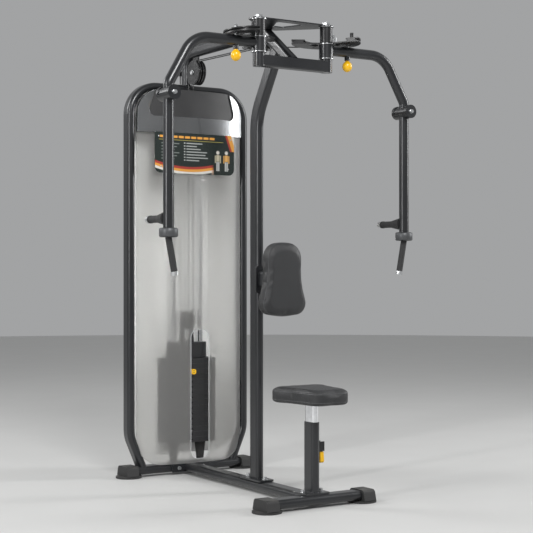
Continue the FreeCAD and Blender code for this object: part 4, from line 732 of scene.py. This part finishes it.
def build_pad(name, node, body, outline, thick, place, edge, seams):
    """A swollen, crowned pad in place of its CAD solid, with sewn seams round its side."""
    block = pad_form(outline, thick, PAD_INSET, edge)
    shaped = swell(block, PAD_CAP)
    centre = sum(outline, Vector((0, 0))) / len(outline)
    reach = max((p - centre).length for p in outline)
    for vertex in shaped.vertices:
        far = min((Vector(vertex.co[:2]) - centre).length / reach, 1.0)
        if vertex.co.z > thick / 2:
            vertex.co.z = min(vertex.co.z + PAD_CROWN * (1 - far ** 2), thick + 0.006)
        else:
            vertex.co.z = max(vertex.co.z, 0.0)
    smoothed(shaped)
    bm = bmesh.new()
    bm.from_mesh(shaped)
    skin = BVHTree.FromBMesh(bm)
    bm.free()
    rings = [seam_ring(skin, outline, thick * share, SEAM * 0.35) for share in seams]
    shaped.transform(place)
    for face in shaped.polygons:
        face.use_smooth = True
    pad = new_piece(name, shaped, "vinyl", body)
    soften = pad.modifiers.new("soften", "SUBSURF")
    soften.levels = soften.render_levels = 1
    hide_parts(node)
    for number, ring in enumerate(rings):
        bead = tube_along("seam", [place @ p for p in ring], SEAM, closed=True)
        new_piece(f"{name}_seam_{number}", bead, "piping", body)


def back_pad():
    low, high = low_high("back_pad")
    thick, tall = high.y - low.y, high.z - low.z
    corners = [(-BACK_BASE, BACK_SAG), (0, 0), (BACK_BASE, BACK_SAG), (BACK_TOP, tall), (-BACK_TOP, tall)]
    outline = rounded_outline(corners, (0.054, 0.55, 0.054, 0.072, 0.072))
    upright = Matrix(((1, 0, 0, 0), (0, 0, -1, 0), (0, 1, 0, 0), (0, 0, 0, 1)))
    place = Matrix.Translation((0, high.y, low.z)) @ upright
    build_pad("back_cushion", "back_pad", "root", outline, thick, place, 0.012, (0.2, 0.82))


def seat_pad():
    low, high = low_high("seat_pad")
    corners = [(-SEAT_FRONT, low.y), (SEAT_FRONT, low.y), (SEAT_REAR, high.y), (-SEAT_REAR, high.y)]
    outline = rounded_outline(corners, (SEAT_CORNER,) * 4)
    place = Matrix.Translation((0, 0, low.z))
    build_pad("seat_cushion", "seat_pad", "seat", outline, high.z - low.z, place, 0.009, (0.22, 0.8))


back_pad()
seat_pad()


# ---------------------------------------------------------------- lift cable strands
def lift_strands(steps=24):
    """The lift cables' strands, straight from the foot to the head of the CAD cables."""
    low, high = low_high("lift_cables")
    spots = [(x, y) for x in (low.x + CABLE, high.x - CABLE) for y in (low.y + CABLE, high.y - CABLE)]
    span = high.z - low.z
    for number, (x, y) in enumerate(spots):
        points = [(x, y, low.z + span * k / steps) for k in range(steps + 1)]
        strand = new_piece(f"lift_strand_{number}", tube_along("strand", points, CABLE), "cable", "root")
        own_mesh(strand)
        if number == 0:
            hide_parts("lift_cables")


lift_strands()


# ---------------------------------------------------------------- small fittings
def arc_plate(name, centre, inner, outer, first, last, low, high, key, body,
              soft=0.002, steps=18):
    """A bar bent about a vertical axis, with softened edges and round-cornered ends."""
    loops = []
    middle, half = (inner + outer) / 2, (outer - inner) / 2
    for k in range(steps + 1):
        share = k / steps
        turn = math.radians(first + (last - first) * share)
        taper = math.sin(math.pi * min(max(share, 0.012), 0.988)) ** 0.12
        out = Vector((math.cos(turn), math.sin(turn), 0))
        ring = []
        cap = low + (high - low) * taper
        for dx, dz in ((-1, 0), (-1, 1), (1, 1), (1, 0)):
            radius = middle + dx * half * taper
            if dz:
                pair = [(radius, cap - soft), (radius - dx * soft, cap)]
                ring += pair if dx < 0 else pair[::-1]
            else:
                ring.append((radius, low))
        loops.append([Vector((centre[0], centre[1], 0)) + out * r + Vector((0, 0, z)) for r, z in ring])
    piece = new_piece(name, loft(name, loops), key, body)
    for face in piece.data.polygons:
        face.use_smooth = False
    return piece


def dome(name, base, axis, radius, rise, key, body):
    """A round head with a rolled edge."""
    profile = [(0.0, radius * 0.97), (rise * 0.35, radius), (rise * 0.7, radius * 0.86), (rise, radius * 0.5),
               (rise * 1.02, radius * 0.06)]
    return new_piece(name, lathe(name, profile, base, axis, 28), key, body)


def cam_scales():
    """Silver marker bar with two rivets, standing on each cam."""
    front, back = low_high("pivot_shafts")
    middle = math.radians((SCALE_FIRST + SCALE_LAST) / 2)
    for sign, side in ((-1, "left"), (1, "right")):
        body = side + "_cam"
        pivot = Vector((sign * CAM_PIVOT, (front.y + back.y) / 2, 0))
        spot = pivot + Vector((sign * SCALE_RADIUS * math.cos(middle), SCALE_RADIUS * math.sin(middle),
                               SCALE_SEARCH))
        hit = surface_of(body).ray_cast(spot, Vector((0, 0, -1)))[0]
        top = hit.z if hit is not None else low_high(body)[0].z + 0.02
        first, last = (180 - SCALE_LAST, 180 - SCALE_FIRST) if sign < 0 else (SCALE_FIRST, SCALE_LAST)
        arc_plate(side + "_cam_scale", pivot, SCALE_INNER, SCALE_OUTER, first, last, top - 0.0005,
                  top + SCALE_RISE, "speckled", body)
        for number, turn in enumerate((first + 8, last - 8)):
            out = Vector((math.cos(math.radians(turn)), math.sin(math.radians(turn)), 0))
            base = pivot + out * SCALE_RADIUS + Vector((0, 0, top + SCALE_RISE - 0.0005))
            dome(f"{side}_cam_rivet_{number}", base, (0, 0, 1), 0.0036, 0.0022, "zinc", body)


def collar_skins():
    """Matte band round the disc collar at the foot of each handle tube."""
    front, back = low_high("pivot_shafts")
    half_profile = [(0.0, COLLAR_RADIUS - 0.006), (0.0008, COLLAR_RADIUS - 0.0028),
                    (0.0045, COLLAR_RADIUS + 0.0006)]
    profile = half_profile + [(COLLAR_TALL - along, radius) for along, radius in reversed(half_profile)]
    for side in ("left", "right"):
        low, high = low_high(side + "_handle_tube")
        base = ((low.x + high.x) / 2, (front.y + back.y) / 2, low.z)
        new_piece(side + "_collar_band", lathe("band", profile, base, (0, 0, 1), 64), "collar",
                  side + "_handle")


def selector_dots():
    """Two dark marks on the face of the selector pin's grip."""
    low, high = low_high("selector_pin")
    for number, share in enumerate((0.32, 0.68)):
        base = ((low.x + high.x) / 2, low.y + 0.0001, low.z + (high.z - low.z) * share)
        dome(f"selector_dot_{number}", base, (0, -1, 0), 0.0028, 0.0006, "dot", "selector")


def post_weld():
    """Uneven bead where the seat post meets its base plate."""
    name = "seat_post_weld"
    low, high = low_high("seat_post_outer")
    near, far = (low.y + high.y) / 2 - POST_HALF_Y, (low.y + high.y) / 2 + POST_HALF_Y
    corners = [(-POST_HALF_X, near), (POST_HALF_X, near), (POST_HALF_X, far), (-POST_HALF_X, far)]
    outline = rounded_outline(corners, (POST_CORNER,) * 4, 6, 24)
    points = [Vector((p.x, p.y, low.z + POST_WELD_RISE)) for p in outline]
    bead = tube_along(name, points, WELD, closed=True, steps=10, wobble=0.35, seed=14)
    new_piece(name, bead, "frame", "root")


def placard_screws():
    """A screw near each corner of the placard."""
    low, high = low_high("instruction_placard")
    skin = surface_of("instruction_placard")
    spots = ((low.x + 0.02, high.z - 0.02), (high.x - 0.02, high.z - 0.02),
             (low.x + 0.034, low.z + 0.03), (high.x - 0.034, low.z + 0.03))
    for number, (x, z) in enumerate(spots):
        hit = skin.ray_cast(Vector((x, low.y - 0.05, z)), Vector((0, 1, 0)))[0]
        if hit is not None:
            dome(f"placard_screw_{number}", hit, (0, -1, 0), 0.0042, 0.0016, "zinc", "root")


def slot_trim():
    """Bright bead round the selector slot, following the bowed sheet."""
    skin = surface_of("front_shroud")
    left, right, foot, head, corner = SLOT
    left, foot, right, head = left - SLOT_GROW, foot - SLOT_GROW, right + SLOT_GROW, head + SLOT_GROW
    outline = rounded_outline([(left, foot), (right, foot), (right, head), (left, head)],
                              (corner + SLOT_GROW,) * 4, 12, 40)
    points = []
    for p in outline:
        hit = skin.ray_cast(Vector((p.x, 0.3, p.y)), Vector((0, 1, 0)))[0]
        if hit is not None:
            points.append(hit)
    bead = tube_along("slot_bead", points, SLOT_BEAD, closed=True, steps=8)
    new_piece("slot_bead", bead, "trim", "root")


def grip_rings():
    """Raised bands near the ends of the side pegs."""
    turns = [2 * math.pi * k / 40 for k in range(40)]
    for side in ("left", "right"):
        caps = low_high(side + "_grip_caps")[1]
        low, high = low_high(side + "_handle_tube")
        x, end, z = (low.x + high.x) / 2, caps.y - GRIP_CAP, caps.z - GRIP_CAP
        for number, back in enumerate((0.004, 0.009, 0.014)):
            ring = [Vector((x + GRIP_BAND * math.cos(t), end - back, z + GRIP_BAND * math.sin(t)))
                    for t in turns]
            band = tube_along("grip_ring", ring, GRIP_RING, closed=True, steps=8)
            new_piece(f"{side}_grip_ring_{number}", band, "grip", side + "_handle")


cam_scales()
collar_skins()
selector_dots()
post_weld()
placard_screws()
slot_trim()
grip_rings()


# ---------------------------------------------------------------- stage, light and camera
def stage():
    """A plain pale floor under an even grey surround."""
    bm = bmesh.new()
    bmesh.ops.create_circle(bm, cap_ends=True, radius=14.0, segments=96)
    floor = bpy.data.objects.new("studio_floor", mesh_from(bm, "studio_floor", smooth=False))
    bpy.context.scene.collection.objects.link(floor)
    material, net, shader = start_material("pale_floor", Roughness=0.55)
    cloud = net.add("ShaderNodeTexNoise", {"Vector": net.place(), "Scale": 3.0, "Detail": 5.0})
    net.tree.links.new(net.mix(cloud.outputs[0], rgb(0.6, 0.6, 0.59), rgb(0.64, 0.64, 0.63)),
                       shader.inputs["Base Color"])
    floor.data.materials.append(material)
    world = bpy.data.worlds.new("studio")
    world.use_nodes = True
    world.node_tree.nodes["Background"].inputs["Color"].default_value = rgb(0.86, 0.87, 0.88)
    world.node_tree.nodes["Background"].inputs["Strength"].default_value = 0.42
    bpy.context.scene.world = world


def soft_lamp(name, spot, target, size, power):
    lamp = bpy.data.lights.new(name, "AREA")
    lamp.shape = "RECTANGLE"
    lamp.size, lamp.size_y = size
    lamp.energy = power
    holder = bpy.data.objects.new(name, lamp)
    holder.location = spot
    holder.rotation_euler = (Vector(target) - Vector(spot)).to_track_quat("-Z", "Y").to_euler()
    bpy.context.scene.collection.objects.link(holder)


def lights():
    aim = (0, 0, 1.1)
    soft_lamp("key_lamp", (-1.4, -4.6, 4.6), aim, (1.6, 1.1), 190)
    soft_lamp("side_lamp", (4.4, -1.6, 2.8), aim, (0.7, 2.6), 110)
    soft_lamp("strip_lamp", (-4.6, -1.2, 2.4), aim, (0.35, 3.0), 90)
    soft_lamp("rim_lamp", (-3.2, 3.4, 3.6), aim, (1.4, 2.0), 90)


def camera():
    view = bpy.data.cameras.new("view")
    view.lens = CAMERA_LENS
    view.shift_x, view.shift_y = CAMERA_SHIFT
    holder = bpy.data.objects.new("view", view)
    holder.location = CAMERA_SPOT
    holder.rotation_euler = (math.pi / 2, 0, CAMERA_TURN)
    bpy.context.scene.collection.objects.link(holder)
    bpy.context.scene.camera = holder


stage()
lights()
camera()
bpy.context.scene.view_settings.view_transform = "Standard"
